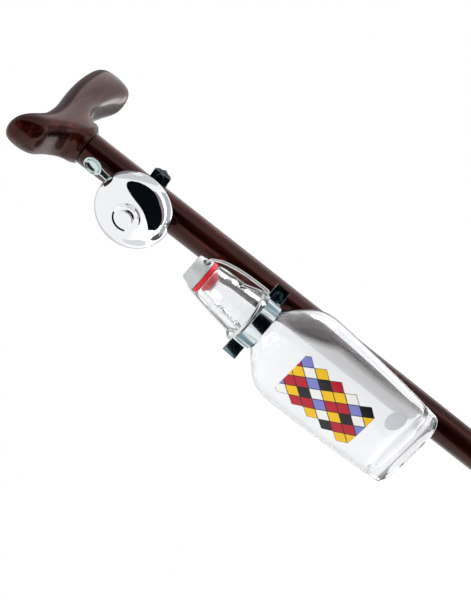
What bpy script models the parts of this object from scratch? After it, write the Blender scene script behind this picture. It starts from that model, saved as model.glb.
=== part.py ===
"""Gadget walking stick: a wooden stick with a saddle handle, a bell and a swing-top bottle.

World frame: metres, +Z up along the shaft, origin at the centre of the ferrule's tread. The
broad face of the bottle looks along -Y. The bell and the nose of the handle look along -Y too,
each turned towards -X by its own angle. Frames are empties, and each piece is drawn in the
frame of what carries it.
"""

from math import asin, atan2, cos, degrees, hypot, pi, radians, sin

import bmesh
import bpy
from mathutils import Matrix, Vector

MM = 0.001

# Clearances
GAP = 0.3 * MM
HOLE_PLAY = 0.3 * MM

# Shaft and ferrule
SHAFT_DIAMETER = 22.2 * MM
SHAFT_FOOT_DIAMETER = 19.0 * MM
TAPER_TOP = 450.0 * MM
JOINT_HEIGHT = 880.0 * MM
TENON_DIAMETER = 14.0 * MM
TENON_LENGTH = 24.0 * MM
SHAFT_CHAMFER = 0.8 * MM
FERRULE_HEIGHT = 40.0 * MM
FERRULE_FOOT_DIAMETER = 35.0 * MM
FERRULE_WALL = 3.0 * MM
FERRULE_FLOOR = 8.0 * MM
FERRULE_FLARE_HEIGHT = 16.0 * MM
WASHER_THICKNESS = 1.5 * MM

# Handle
HANDLE_TURN = radians(31.0)
HANDLE_NOSE = 39.5 * MM
HANDLE_TAIL = 92.0 * MM
HANDLE_WIDTH = 27.0 * MM
HANDLE_SADDLE = 33.0 * MM
HANDLE_NOSE_TOP = 42.5 * MM
HANDLE_TAIL_TOP = 38.5 * MM
HANDLE_SKIRT_DIAMETER = 25.6 * MM

# Bell
BELL_TURN = radians(28.0)
BELL_BELOW_JOINT = 48.5 * MM
DOME_DIAMETER = 50.0 * MM
DOME_RIM_STANDOFF = 27.6 * MM
DOME_DEPTH = 15.2 * MM
DOME_WALL = 1.0 * MM
DOME_STEP_DIAMETER = 16.2 * MM
DOME_STEP_HEIGHT = 0.8 * MM
CAP_NUT_DIAMETER = 10.2 * MM
CAP_NUT_HEIGHT = 1.8 * MM
DOME_OVERHANG = 4.0 * MM
CUP_FLOOR_STANDOFF = 19.0 * MM
CUP_FLOOR = 1.5 * MM
CUP_WALL = 1.5 * MM
CUP_DEPTH = 7.5 * MM
PEDESTAL_WIDTH = 14.0 * MM
CLAMP_BAND_WALL = 1.8 * MM
CLAMP_BAND_WIDTH = 12.0 * MM
CLAMP_EAR_REACH = 6.2 * MM
CLAMP_EAR_THICKNESS = 2.0 * MM
CLAMP_EAR_OPENING = 1.2 * MM
POST_JOURNAL_DIAMETER = 4.4 * MM
POST_THREAD_DIAMETER = 3.4 * MM
POST_COLLAR_DIAMETER = 8.0 * MM
POST_COLLAR_THICKNESS = 0.8 * MM
SPACER_DIAMETER = 8.4 * MM

# Bell mechanism
GEAR_MODULE = 0.9 * MM
PINION_TEETH = 11
SECTOR_TEETH = 25
GEAR_BACKLASH = 0.45 * MM
PLATE_THICKNESS = 1.5 * MM
PLATE_STANDOFF = 23.1 * MM
LEVER_PIVOT_SWING = radians(12.0)
LEVER_LEAN = radians(5.3)
LEVER_ARM_WIDTH = 5.0 * MM
LEVER_TRAVEL = radians(32.0)
PAD_DISTANCE = 19.9 * MM
PAD_LENGTH = 13.0 * MM
PAD_WIDTH = 9.8 * MM
PAD_DEPTH = 1.2 * MM
LEVER_HUB_DIAMETER = 8.0 * MM
PIVOT_PIN_DIAMETER = 3.0 * MM
PIVOT_HEAD_DIAMETER = 4.8 * MM
PIVOT_HEAD_THICKNESS = 0.6 * MM
SPRING_WIRE = 0.5 * MM
SPRING_DIAMETER = 6.4 * MM
SPRING_TURNS = 2.0
ROTOR_ARM_CLEARANCE = 3.0 * MM
ROTOR_ARM_WIDTH = 6.0 * MM
ROTOR_ARM_THICKNESS = 1.2 * MM
ROTOR_ARM_STANDOFF = 26.8 * MM
STRIKER_DIAMETER = 11.4 * MM
STRIKER_THICKNESS = 2.0 * MM
STRIKER_BORE = 3.2 * MM
STRIKER_PIN_DIAMETER = 2.4 * MM
STRIKER_HEAD_DIAMETER = 4.4 * MM
STRIKER_HEAD_THICKNESS = 0.7 * MM

# Fasteners
SCREW_DIAMETER = 3.0 * MM
SCREW_HEAD_DIAMETER = 6.0 * MM
SCREW_HEAD_HEIGHT = 2.2 * MM
NUT_ACROSS = 5.5 * MM
NUT_HEIGHT = 2.2 * MM
WOOD_SCREW_LENGTH = 13.0 * MM

# Bottle and its place on the stick
BOTTLE_TILT = radians(2.5)
BOTTLE_TURN = radians(23.0)
CLOSURE_TURN = radians(38.0)
CLAMP_BELOW_BELL = 103.9 * MM
NECK_OFFSET = 20.5 * MM
NECK_CLAMP_DIAMETER = 29.2 * MM
LIP_DIAMETER = 23.4 * MM
LIP_HEIGHT = 41.3 * MM
BOTTLE_BASE_DEPTH = 124.0 * MM
SHOULDER_DROP = 31.0 * MM
SHOULDER_WIDTH = 68.0 * MM
SHOULDER_DEPTH = 40.0 * MM
FOOT_WIDTH = 57.0 * MM
FOOT_DEPTH = 36.5 * MM
GLASS_WALL = 3.0 * MM
GLASS_FLOOR = 7.5 * MM
MOUTH_DIAMETER = 16.0 * MM
MOUTH_DEPTH = 6.0 * MM

# Bottle closure
WIRE_DIAMETER = 2.0 * MM
PIVOT_HEIGHT = 22.9 * MM
DIMPLE_DEPTH = 1.8 * MM
EYE_OFFSET = 18.2 * MM
EYE_BACKSET = 2.0 * MM
HOOK_CORNER = 1.6 * MM
BAIL_ABOVE_LIP = 7.0 * MM
BAIL_SHOULDER = 12.8 * MM
BAIL_BOW_RIGHT = 3.0 * MM
BAIL_BOW_LEFT = 0.2 * MM
HOOP_REACH = 17.4 * MM
HOOP_HEIGHT = 7.3 * MM
RECESS_DIAMETER = 5.0 * MM
RECESS_START = 7.2 * MM
STOPPER_DIAMETER = 21.8 * MM
STOPPER_TOP_DIAMETER = 17.2 * MM
STOPPER_ABOVE_BAIL = 5.9 * MM
STEM_DIAMETER = 8.0 * MM
STEM_KNOB_DIAMETER = 9.8 * MM
SEAL_DIAMETER = 22.0 * MM
SEAL_THICKNESS = 2.8 * MM
PLUG_TOP_DIAMETER = 15.2 * MM
PLUG_TIP_DIAMETER = 10.4 * MM
PLUG_DEPTH = 5.0 * MM

# Neck clamp
STRIP_THICKNESS = 1.5 * MM
STRIP_WIDTH = 10.0 * MM
BACK_PLATE_THICKNESS = 1.6 * MM
STRIP_BEND = 2.25 * MM
EAR_REACH = 10.7 * MM

# Facets
ROUND_STEPS = 32
DOME_STEPS = 48
FINE_STEPS = 24
ARC_STEPS = 9
MERGE = 0.00001

# Sizes that follow
BELL_HEIGHT = JOINT_HEIGHT - BELL_BELOW_JOINT
CLAMP_HEIGHT = BELL_HEIGHT - CLAMP_BELOW_BELL
SHAFT_RADIUS = SHAFT_DIAMETER / 2
WASHER_BOTTOM = FERRULE_FLOOR + GAP
SHAFT_BOTTOM = WASHER_BOTTOM + WASHER_THICKNESS + GAP
CUP_DIAMETER = DOME_DIAMETER - 2 * DOME_OVERHANG
ROTOR_ARM_REACH = CUP_DIAMETER / 2 - CUP_WALL - ROTOR_ARM_CLEARANCE
PINION_RADIUS = GEAR_MODULE * PINION_TEETH / 2
SECTOR_RADIUS = GEAR_MODULE * SECTOR_TEETH / 2
GEAR_DISTANCE = PINION_RADIUS + SECTOR_RADIUS
PIVOT_X = GEAR_DISTANCE * sin(LEVER_PIVOT_SWING)
PIVOT_Y = GEAR_DISTANCE * cos(LEVER_PIVOT_SWING)
CUP_FLOOR_TOP = CUP_FLOOR_STANDOFF + CUP_FLOOR
STRIKER_BOTTOM = ROTOR_ARM_STANDOFF + ROTOR_ARM_THICKNESS + GAP
STRIKER_TOP = STRIKER_BOTTOM + STRIKER_THICKNESS
SPACER_BOTTOM = STRIKER_TOP + GAP
DOME_CROWN = DOME_RIM_STANDOFF + DOME_DEPTH
DOME_SEAT = DOME_CROWN - DOME_WALL
NECK_CLAMP_RADIUS = NECK_CLAMP_DIAMETER / 2
BAIL_HEIGHT = LIP_HEIGHT + BAIL_ABOVE_LIP
STOPPER_TOP = BAIL_HEIGHT + STOPPER_ABOVE_BAIL
BACK_PLATE_FRONT = SHAFT_RADIUS + GAP + BACK_PLATE_THICKNESS
EAR_FRONT = BACK_PLATE_FRONT + GAP + STRIP_THICKNESS
EYE_RADIUS = WIRE_DIAMETER + GAP
EYE_PITCH = WIRE_DIAMETER + GAP
EYE_HEIGHT = STRIP_WIDTH / 2 + GAP + EYE_RADIUS + WIRE_DIAMETER / 2
HOOK_X = EYE_OFFSET + EYE_PITCH / 2 + WIRE_DIAMETER + GAP
NECK_FORWARD = BACK_PLATE_FRONT + GAP + 0.1 * MM + NECK_CLAMP_RADIUS
STRIP_RADIUS = NECK_CLAMP_RADIUS + GAP + STRIP_THICKNESS / 2
LEFT_BOLT_X = -2 * NECK_OFFSET


def new_collection(name):
    """A collection linked to the scene."""
    made = bpy.data.collections.new(name)
    bpy.context.scene.collection.children.link(made)
    return made


def clear_scene():
    """Removes the objects that the scene starts with."""
    for obj in list(bpy.data.objects):
        bpy.data.objects.remove(obj, do_unlink=True)


clear_scene()
PARTS = new_collection("gadget_walking_stick")
CUTTERS = new_collection("cutters")


def make_material(name, color, roughness, metallic=0.0, transmission=0.0):
    """A Principled material with the part's plain colour."""
    made = bpy.data.materials.new(name)
    made.use_nodes = True
    shader = made.node_tree.nodes["Principled BSDF"]
    shader.inputs["Base Color"].default_value = (*color, 1.0)
    shader.inputs["Roughness"].default_value = roughness
    shader.inputs["Metallic"].default_value = metallic
    shader.inputs["Transmission Weight"].default_value = transmission
    made.diffuse_color = (*color, 1.0)
    return made


LACQUERED_WOOD = make_material("lacquered_wood", (0.10, 0.018, 0.012), 0.15)
CHROME = make_material("chrome", (0.80, 0.82, 0.84), 0.06, metallic=1.0)
ZINC_STEEL = make_material("zinc_steel", (0.55, 0.58, 0.60), 0.25, metallic=1.0)
STEEL_WIRE = make_material("steel_wire", (0.70, 0.71, 0.72), 0.15, metallic=1.0)
CLEAR_GLASS = make_material("clear_glass", (0.95, 0.97, 0.97), 0.02, transmission=1.0)
STOPPER_CERAMIC = make_material("stopper_ceramic", (0.62, 0.63, 0.62), 0.35)
RED_RUBBER = make_material("red_rubber", (0.62, 0.02, 0.03), 0.45)
BLACK_RUBBER = make_material("black_rubber", (0.02, 0.02, 0.02), 0.7)


def frame(name, location, rotation=(0.0, 0.0, 0.0), parent=None):
    """An empty that carries the pieces drawn in its frame."""
    made = bpy.data.objects.new(name, None)
    made.empty_display_size = 0.01
    made.location = location
    made.rotation_euler = rotation
    made.parent = parent
    PARTS.objects.link(made)
    return made


BAND_FRAME = frame("bell_band_frame", (0, 0, BELL_HEIGHT), (0, 0, -BELL_TURN))
BELL_FRAME = frame("bell_frame", (0, 0, 0), (radians(90), 0, 0), BAND_FRAME)
HANDLE_FRAME = frame("handle_frame", (0, 0, JOINT_HEIGHT), (0, 0, -HANDLE_TURN))
CLAMP_FRAME = frame("clamp_frame", (0, 0, CLAMP_HEIGHT), (0, BOTTLE_TILT, 0))
NECK_FRAME = frame("neck_frame", (-NECK_OFFSET, -NECK_FORWARD, 0), parent=CLAMP_FRAME)
BOTTLE_FRAME = frame("bottle_frame", (0, 0, 0), (0, 0, -BOTTLE_TURN), NECK_FRAME)
CLOSURE_FRAME = frame("closure_frame", (0, 0, 0), (0, 0, -CLOSURE_TURN), NECK_FRAME)


def place(obj, material, parent=None, location=(0, 0, 0), rotation=(0, 0, 0)):
    """Gives a piece its frame, place and material, and links it."""
    obj.parent = parent
    obj.location = location
    obj.rotation_euler = rotation
    if material is not None:
        obj.data.materials.clear()
        obj.data.materials.append(material)
        PARTS.objects.link(obj)
    else:
        obj.hide_render = True
        obj.display_type = "WIRE"
        CUTTERS.objects.link(obj)
    return obj


def smooth(obj, angle=radians(35)):
    """Shades a mesh smooth with its sharp edges kept."""
    obj.data.shade_smooth()
    obj.data.set_sharp_from_angle(angle=angle)
    return obj


def mesh_object(name, bm):
    """An object from a bmesh, with its faces turned outwards."""
    mesh = bpy.data.meshes.new(name)
    bmesh.ops.recalc_face_normals(bm, faces=bm.faces)
    bm.to_mesh(mesh)
    bm.free()
    return bpy.data.objects.new(name, mesh)


def turned(name, profile, steps=ROUND_STEPS, closed=False):
    """A shape turned about local Z from (radius, height) points, listed down the outer side."""
    mesh = bpy.data.meshes.new(name)
    edges = [(i, i + 1) for i in range(len(profile) - 1)]
    if closed:
        edges.append((len(profile) - 1, 0))
    mesh.from_pydata([(r, 0, z) for r, z in profile], edges, [])
    obj = bpy.data.objects.new(name, mesh)
    screw = obj.modifiers.new("turn", "SCREW")
    screw.steps = steps
    screw.render_steps = steps
    screw.use_merge_vertices = True
    screw.merge_threshold = MERGE
    screw.use_smooth_shade = True
    return obj


def ring_profile(inner, outer, bottom, top):
    """Closed profile of a plain ring, down the outer side and up the bore."""
    return [(outer, top), (outer, bottom), (inner, bottom), (inner, top)]


def cylinder(name, radius, bottom, top, steps=FINE_STEPS):
    """A solid cylinder about local Z."""
    bm = bmesh.new()
    middle = Matrix.Translation((0, 0, (bottom + top) / 2))
    bmesh.ops.create_cone(
        bm, cap_ends=True, segments=steps, radius1=radius, radius2=radius,
        depth=top - bottom, matrix=middle,
    )
    return mesh_object(name, bm)


def box(name, low, high):
    """A box between two corners."""
    bm = bmesh.new()
    size = Matrix.Diagonal((*(b - a for a, b in zip(low, high)), 1))
    centre = Matrix.Translation([(a + b) / 2 for a, b in zip(low, high)])
    bmesh.ops.create_cube(bm, size=1.0, matrix=centre @ size)
    return mesh_object(name, bm)


def plate(name, outline, bottom, top):
    """A flat outline in local XY as a filled 2D curve, extruded between two heights."""
    curve = bpy.data.curves.new(name, "CURVE")
    curve.dimensions = "2D"
    curve.fill_mode = "BOTH"
    curve.extrude = (top - bottom) / 2
    spline = curve.splines.new("POLY")
    spline.points.add(len(outline) - 1)
    for point, (x, y) in zip(spline.points, outline):
        point.co = (x, y, 0, 1)
    spline.use_cyclic_u = True
    obj = as_mesh(bpy.data.objects.new(name, curve))
    obj.data.transform(Matrix.Translation((0, 0, (bottom + top) / 2)))
    return obj


def as_mesh(curve_object):
    """A mesh object in place of a curve object, with its caps welded."""
    PARTS.objects.link(curve_object)
    bpy.context.view_layer.update()
    evaluated = curve_object.evaluated_get(bpy.context.evaluated_depsgraph_get())
    mesh = bpy.data.meshes.new_from_object(evaluated)
    name = curve_object.name
    world = curve_object.matrix_world.copy()
    curve = curve_object.data
    bpy.data.objects.remove(curve_object, do_unlink=True)
    bpy.data.curves.remove(curve)
    bm = bmesh.new()
    bm.from_mesh(mesh)
    bpy.data.meshes.remove(mesh)
    bmesh.ops.remove_doubles(bm, verts=bm.verts, dist=MERGE / 10)
    bmesh.ops.dissolve_limit(bm, angle_limit=radians(0.5), verts=bm.verts, edges=bm.edges)
    obj = mesh_object(name, bm)
    obj.matrix_world = world
    return obj


def wire(name, points, radius):
    """A round wire along a poly line, with filled ends."""
    curve = bpy.data.curves.new(name, "CURVE")
    curve.dimensions = "3D"
    curve.bevel_depth = radius
    curve.bevel_resolution = 2
    curve.use_fill_caps = True
    spline = curve.splines.new("POLY")
    spline.points.add(len(points) - 1)
    for point, place_of in zip(spline.points, points):
        point.co = (*place_of, 1)
        point.radius = 1.0
    spline.use_smooth = True
    return bpy.data.objects.new(name, curve)


def combine(obj, other, operation):
    """A Boolean of a piece with a helper that shares its frame."""
    other.parent = obj.parent
    other.hide_render = True
    other.display_type = "WIRE"
    if other.name not in CUTTERS.objects:
        CUTTERS.objects.link(other)
    modifier = obj.modifiers.new(other.name, "BOOLEAN")
    modifier.operation = operation
    modifier.solver = "EXACT"
    modifier.object = other
    return obj


def cut(obj, other, location=(0, 0, 0), rotation=(0, 0, 0)):
    """Cuts a helper out of a piece."""
    other.location = location
    other.rotation_euler = rotation
    return combine(obj, other, "DIFFERENCE")


def join(obj, other, location=(0, 0, 0), rotation=(0, 0, 0)):
    """Joins a helper to a piece."""
    other.location = location
    other.rotation_euler = rotation
    return combine(obj, other, "UNION")


def arc(centre, radius, start, end, steps=ARC_STEPS):
    """Points along an arc in a plane, ends included."""
    turn = (end - start) / steps
    angles = [start + turn * i for i in range(steps + 1)]
    return [(centre[0] + radius * cos(a), centre[1] + radius * sin(a)) for a in angles]


def build_shaft():
    """The tapered wooden shaft, with the tenon that the handle is glued on."""
    shoulder = JOINT_HEIGHT - GAP
    tenon = TENON_DIAMETER / 2
    foot = SHAFT_FOOT_DIAMETER / 2
    profile = [
        (0, shoulder + TENON_LENGTH),
        (tenon - SHAFT_CHAMFER, shoulder + TENON_LENGTH),
        (tenon, shoulder + TENON_LENGTH - SHAFT_CHAMFER),
        (tenon, shoulder),
        (SHAFT_RADIUS - SHAFT_CHAMFER, shoulder),
        (SHAFT_RADIUS, shoulder - SHAFT_CHAMFER),
        (SHAFT_RADIUS, TAPER_TOP),
        (foot, SHAFT_BOTTOM + SHAFT_CHAMFER),
        (foot - SHAFT_CHAMFER, SHAFT_BOTTOM),
        (0, SHAFT_BOTTOM),
    ]
    shaft = place(turned("shaft", profile), LACQUERED_WOOD)
    reach = EAR_FRONT + GAP - WOOD_SCREW_LENGTH
    hole = cylinder("stick_screw_hole", SCREW_DIAMETER / 2 + HOLE_PLAY, -SHAFT_DIAMETER, GAP - reach)
    return cut(shaft, hole, (0, 0, CLAMP_HEIGHT), (radians(-90), 0, 0))


def build_ferrule():
    """The rubber ferrule with its grooved foot, and the steel washer inside it."""
    bore = SHAFT_FOOT_DIAMETER / 2 + GAP
    neck = bore + FERRULE_WALL
    foot = FERRULE_FOOT_DIAMETER / 2
    edge = 1.5 * MM
    profile = [
        (0, FERRULE_FLOOR),
        (bore, FERRULE_FLOOR),
        (bore, FERRULE_HEIGHT),
        (neck - edge / 2, FERRULE_HEIGHT),
        (neck, FERRULE_HEIGHT - edge / 2),
        (neck, FERRULE_FLARE_HEIGHT + 2 * edge),
        (neck + edge, FERRULE_FLARE_HEIGHT),
        (foot, FERRULE_FLOOR),
        (foot, edge),
        (foot - edge, 0),
        (0, 0),
    ]
    place(turned("rubber_ferrule", profile), BLACK_RUBBER)
    radius = SHAFT_FOOT_DIAMETER / 2 - GAP
    washer = cylinder("ferrule_washer", radius, WASHER_BOTTOM, WASHER_BOTTOM + WASHER_THICKNESS)
    place(smooth(washer), ZINC_STEEL)


def handle_stations():
    """Cross sections from nose to tail: place along, bottom, top, share of the width, lean of the top."""
    nose, tail = -HANDLE_NOSE, HANDLE_TAIL
    nose_top, saddle, tail_top = HANDLE_NOSE_TOP, HANDLE_SADDLE, HANDLE_TAIL_TOP
    belly = 7.0 * MM
    lobe = 6.0 * MM
    lean = 3.5 * MM
    return [
        (nose + 1.5 * MM, belly + 11.5 * MM, nose_top - 7.0 * MM, 0.62, -lean),
        (nose + 7.5 * MM, belly + 5.5 * MM, nose_top, 0.97, -lean),
        (nose + 18.0 * MM, belly + 3.5 * MM, nose_top - 3.5 * MM, 1.00, -lean / 2),
        (-10.5 * MM, belly, saddle + 1.5 * MM, 0.96, 0),
        (0.0, belly, saddle, 0.90, 0),
        (12.0 * MM, belly, saddle - 0.5 * MM, 0.86, 0),
        (30.0 * MM, belly + 3.0 * MM, saddle + 0.8 * MM, 0.86, 0),
        (tail - 39.0 * MM, lobe + 0.5 * MM, tail_top - 2.0 * MM, 0.94, lean / 4),
        (tail - 21.0 * MM, lobe, tail_top, 1.00, lean / 2),
        (tail - 8.0 * MM, lobe + 1.0 * MM, tail_top - 0.5 * MM, 0.93, lean),
        (tail - 1.5 * MM, lobe + 8.5 * MM, tail_top - 8.0 * MM, 0.55, lean),
    ]


def build_handle():
    """The saddle handle: a coarse cage of eight-sided rings with a skirt drawn down from its belly."""
    fullness = 1.095
    diagonal = 0.76
    bm = bmesh.new()
    rings = []
    for y, low, high, share, lean in handle_stations():
        middle, half_height = (low + high) / 2, (high - low) / 2
        ring = []
        for index in range(8):
            angle = pi / 2 - index * pi / 4
            reach = diagonal / cos(pi / 4) if index % 2 else 1.0
            x = HANDLE_WIDTH / 2 * share * fullness * reach * cos(angle)
            z = middle + half_height * fullness * reach * sin(angle)
            ring.append(bm.verts.new((x, y + lean * sin(angle), z)))
        rings.append(ring)
    skirt_rows = (3, 4)
    for row in range(len(rings) - 1):
        for index in range(8):
            if row in skirt_rows and index in (3, 4):
                continue
            following = (index + 1) % 8
            near, far = rings[row], rings[row + 1]
            bm.faces.new((near[index], near[following], far[following], far[index]))
    for ring, y, outward in ((rings[0], -HANDLE_NOSE, -1), (rings[-1], HANDLE_TAIL, 1)):
        middle = sum((v.co for v in ring), Vector()) / 8
        tip = bm.verts.new((0, y + outward * 1.5 * MM, middle.z))
        for index in range(0, 8, 2):
            bm.faces.new((tip, ring[index], ring[index + 1], ring[(index + 2) % 8]))
    front, centre, rear = rings[3], rings[4], rings[5]
    bm.verts.remove(centre[4])
    loop = [front[3], front[4], front[5], centre[5], rear[5], rear[4], rear[3], centre[3]]
    skirt = HANDLE_SKIRT_DIAMETER / 2 * fullness
    for height, flare in ((3.5 * MM, 4.0 * MM), (-2.0 * MM, 0), (-8.0 * MM, 0)):
        fresh = []
        for vertex in loop:
            angle = atan2(vertex.co.y, vertex.co.x)
            snapped = round(angle / (pi / 4)) * pi / 4
            rear = flare * (sin(snapped) if sin(snapped) > 0 else sin(snapped) / 2)
            fresh.append(bm.verts.new((skirt * cos(snapped), skirt * sin(snapped) + rear, height)))
        for index in range(8):
            following = (index + 1) % 8
            bm.faces.new((loop[index], loop[following], fresh[following], fresh[index]))
        loop = fresh
    bm.faces.new(loop)
    handle = place(mesh_object("handle", bm), LACQUERED_WOOD, HANDLE_FRAME)
    subdivision = handle.modifiers.new("round_off", "SUBSURF")
    subdivision.levels = 2
    subdivision.render_levels = 2
    smooth(handle)
    reach = HANDLE_SKIRT_DIAMETER
    cut(handle, box("handle_trim", (-reach, -reach, -reach), (reach, reach, 0)))
    bore = TENON_DIAMETER / 2 + HOLE_PLAY
    cut(handle, cylinder("tenon_bore", bore, -5 * MM, TENON_LENGTH, ROUND_STEPS))


def cup_socket():
    """Radius of the post's seat in the bell base."""
    return POST_THREAD_DIAMETER / 2 + HOLE_PLAY


def half_band(name, sign):
    """One half of the round clamp on the shaft, with an ear at each end, as an outline extruded."""
    inner = SHAFT_RADIUS + GAP
    outer = inner + CLAMP_BAND_WALL
    near = CLAMP_EAR_OPENING / 2
    far = near + CLAMP_EAR_THICKNESS
    reach = outer + CLAMP_EAR_REACH
    inner_start = asin(near / inner)
    outer_start = asin(far / outer)
    outline = [(reach, far), (reach, near)]
    outline += arc((0, 0), inner, inner_start, pi - inner_start, 2 * ARC_STEPS)
    outline += [(-reach, near), (-reach, far)]
    outline += arc((0, 0), outer, pi - outer_start, outer_start, 2 * ARC_STEPS)
    outline = [(x, sign * y) for x, y in outline]
    return plate(name, outline, -CLAMP_BAND_WIDTH / 2, CLAMP_BAND_WIDTH / 2)


def screw_x():
    """Distance of the clamp screws from the shaft's axis."""
    return SHAFT_RADIUS + GAP + CLAMP_BAND_WALL + SCREW_HEAD_DIAMETER / 2 + GAP


def build_bell_base():
    """The cast base of the bell: the front half of the clamp, a pedestal and the cup."""
    base = place(half_band("bell_base", -1), CHROME, BAND_FRAME)
    cup = CUP_DIAMETER / 2
    top = CUP_FLOOR_STANDOFF + CUP_DEPTH
    profile = [
        (0, CUP_FLOOR_TOP),
        (cup - CUP_WALL, CUP_FLOOR_TOP),
        (cup - CUP_WALL, top),
        (cup, top),
        (cup, CUP_FLOOR_STANDOFF + CUP_WALL),
        (cup - CUP_WALL, CUP_FLOOR_STANDOFF),
        (0, CUP_FLOOR_STANDOFF),
    ]
    turn = (radians(90), 0, 0)
    centre = (0, 0, 0)
    half = PEDESTAL_WIDTH / 2
    low = SHAFT_RADIUS + GAP + CLAMP_BAND_WALL / 2
    half_height = CLAMP_BAND_WIDTH / 2 - 0.5 * MM
    pedestal = box("pedestal", (-half, -half_height, low), (half, half_height, CUP_FLOOR_STANDOFF + CUP_FLOOR / 2))
    join(base, pedestal, centre, turn)
    seat = cylinder("shaft_seat", SHAFT_RADIUS + GAP, -CLAMP_BAND_WIDTH, CLAMP_BAND_WIDTH, 4 * ARC_STEPS)
    join(base, turned("base_cup", profile), centre, turn)
    cut(base, seat, centre)
    socket_bottom = SHAFT_RADIUS + GAP + CLAMP_BAND_WALL
    cut(base, cylinder("post_socket", cup_socket(), socket_bottom, top), centre, turn)
    notch_low = -PIVOT_X - 3.5 * MM
    notch_high = PIVOT_X + 6.0 * MM
    notch_bottom = CUP_FLOOR_TOP - 0.1 * MM
    notch = box("lever_notch", (notch_low, PIVOT_Y - 2.6 * MM, notch_bottom), (notch_high, CUP_DIAMETER, top + GAP))
    cut(base, notch, centre, turn)
    pin_hole = cylinder("pivot_hole", PIVOT_PIN_DIAMETER / 2 + HOLE_PLAY, CUP_FLOOR_STANDOFF - GAP, top)
    pin_hole.data.transform(Matrix.Translation((PIVOT_X, PIVOT_Y, 0)))
    cut(base, pin_hole, centre, turn)
    for side in (1, -1):
        cut_screw_hole(base, side)
    return base


def cut_screw_hole(obj, side):
    """The hole for a clamp screw, along Y."""
    hole = cylinder(f"{obj.name}_screw_hole", SCREW_DIAMETER / 2 + HOLE_PLAY, -8 * MM, 8 * MM)
    cut(obj, hole, (side * screw_x(), 0, 0), (radians(90), 0, 0))


def build_bell_clamp():
    """The rear half of the clamp, and its screws and nuts."""
    band = place(half_band("bell_clamp_band", 1), CHROME, BAND_FRAME)
    for side, name in ((1, "right"), (-1, "left")):
        cut_screw_hole(band, side)
        face = CLAMP_EAR_OPENING / 2 + CLAMP_EAR_THICKNESS + GAP
        tail = face + NUT_HEIGHT + 0.8 * MM
        centre = (side * screw_x(), 0, 0)
        turn = (radians(90), 0, 0)
        screw = pan_screw(f"bell_screw_{name}", face, tail)
        place(screw, ZINC_STEEL, BAND_FRAME, centre, turn)
        nut = hex_nut(f"bell_nut_{name}", -face - NUT_HEIGHT, -face)
        place(nut, ZINC_STEEL, BAND_FRAME, centre, turn)


def pan_screw(name, face, tail):
    """A slotted pan screw along local Z: its head sits above the height face, its end at -tail."""
    shank = SCREW_DIAMETER / 2
    head = SCREW_HEAD_DIAMETER / 2
    rounding = 0.7 * MM
    tip = 0.4 * MM
    profile = [
        (0, face + SCREW_HEAD_HEIGHT),
        (head - rounding, face + SCREW_HEAD_HEIGHT),
        (head, face + SCREW_HEAD_HEIGHT - rounding),
        (head, face),
        (shank, face),
        (shank, -tail + tip),
        (shank - tip, -tail),
        (0, -tail),
    ]
    screw = turned(name, profile, FINE_STEPS)
    slot_half = 0.45 * MM
    slot_bottom = face + SCREW_HEAD_HEIGHT - 1.0 * MM
    slot = box(f"{name}_slot", (-head - GAP, -slot_half, slot_bottom), (head + GAP, slot_half, slot_bottom + head))
    slot.parent = screw
    slot.hide_render = True
    slot.display_type = "WIRE"
    CUTTERS.objects.link(slot)
    modifier = screw.modifiers.new("slot", "BOOLEAN")
    modifier.operation = "DIFFERENCE"
    modifier.solver = "EXACT"
    modifier.object = slot
    return screw


def hex_nut(name, bottom, top):
    """A hexagon nut about local Z, with its bore."""
    corner = NUT_ACROSS / 2 / cos(pi / 6)
    outline = arc((0, 0), corner, 0, 2 * pi * 5 / 6, 5)
    nut = plate(name, outline, bottom, top)
    bore = cylinder(f"{name}_bore", SCREW_DIAMETER / 2 + HOLE_PLAY, bottom - GAP, top + GAP)
    bore.parent = nut
    bore.hide_render = True
    bore.display_type = "WIRE"
    CUTTERS.objects.link(bore)
    modifier = nut.modifiers.new("bore", "BOOLEAN")
    modifier.operation = "DIFFERENCE"
    modifier.solver = "EXACT"
    modifier.object = bore
    return nut


def dome_profile():
    """Closed section of the pressed steel dome, with its rolled rim and raised centre."""
    radius = DOME_DIAMETER / 2
    step = DOME_STEP_DIAMETER / 2
    hole = POST_THREAD_DIAMETER / 2 + HOLE_PLAY
    crown = DOME_CROWN

    def shell(offset):
        reach, rise = radius - offset, DOME_DEPTH - DOME_STEP_HEIGHT - offset
        start = asin(min(1.0, (step + 0.8 * MM) / reach))
        angles = [start + (pi / 2 - start) * i / ARC_STEPS for i in range(ARC_STEPS + 1)]
        return [(reach * sin(a), DOME_RIM_STANDOFF + rise * cos(a)) for a in angles]

    outer = [(hole, crown), (step, crown)] + shell(0)
    inner = shell(DOME_WALL)
    inner.reverse()
    return outer + inner + [(step - DOME_WALL, crown - DOME_WALL), (hole, crown - DOME_WALL)]


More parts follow.
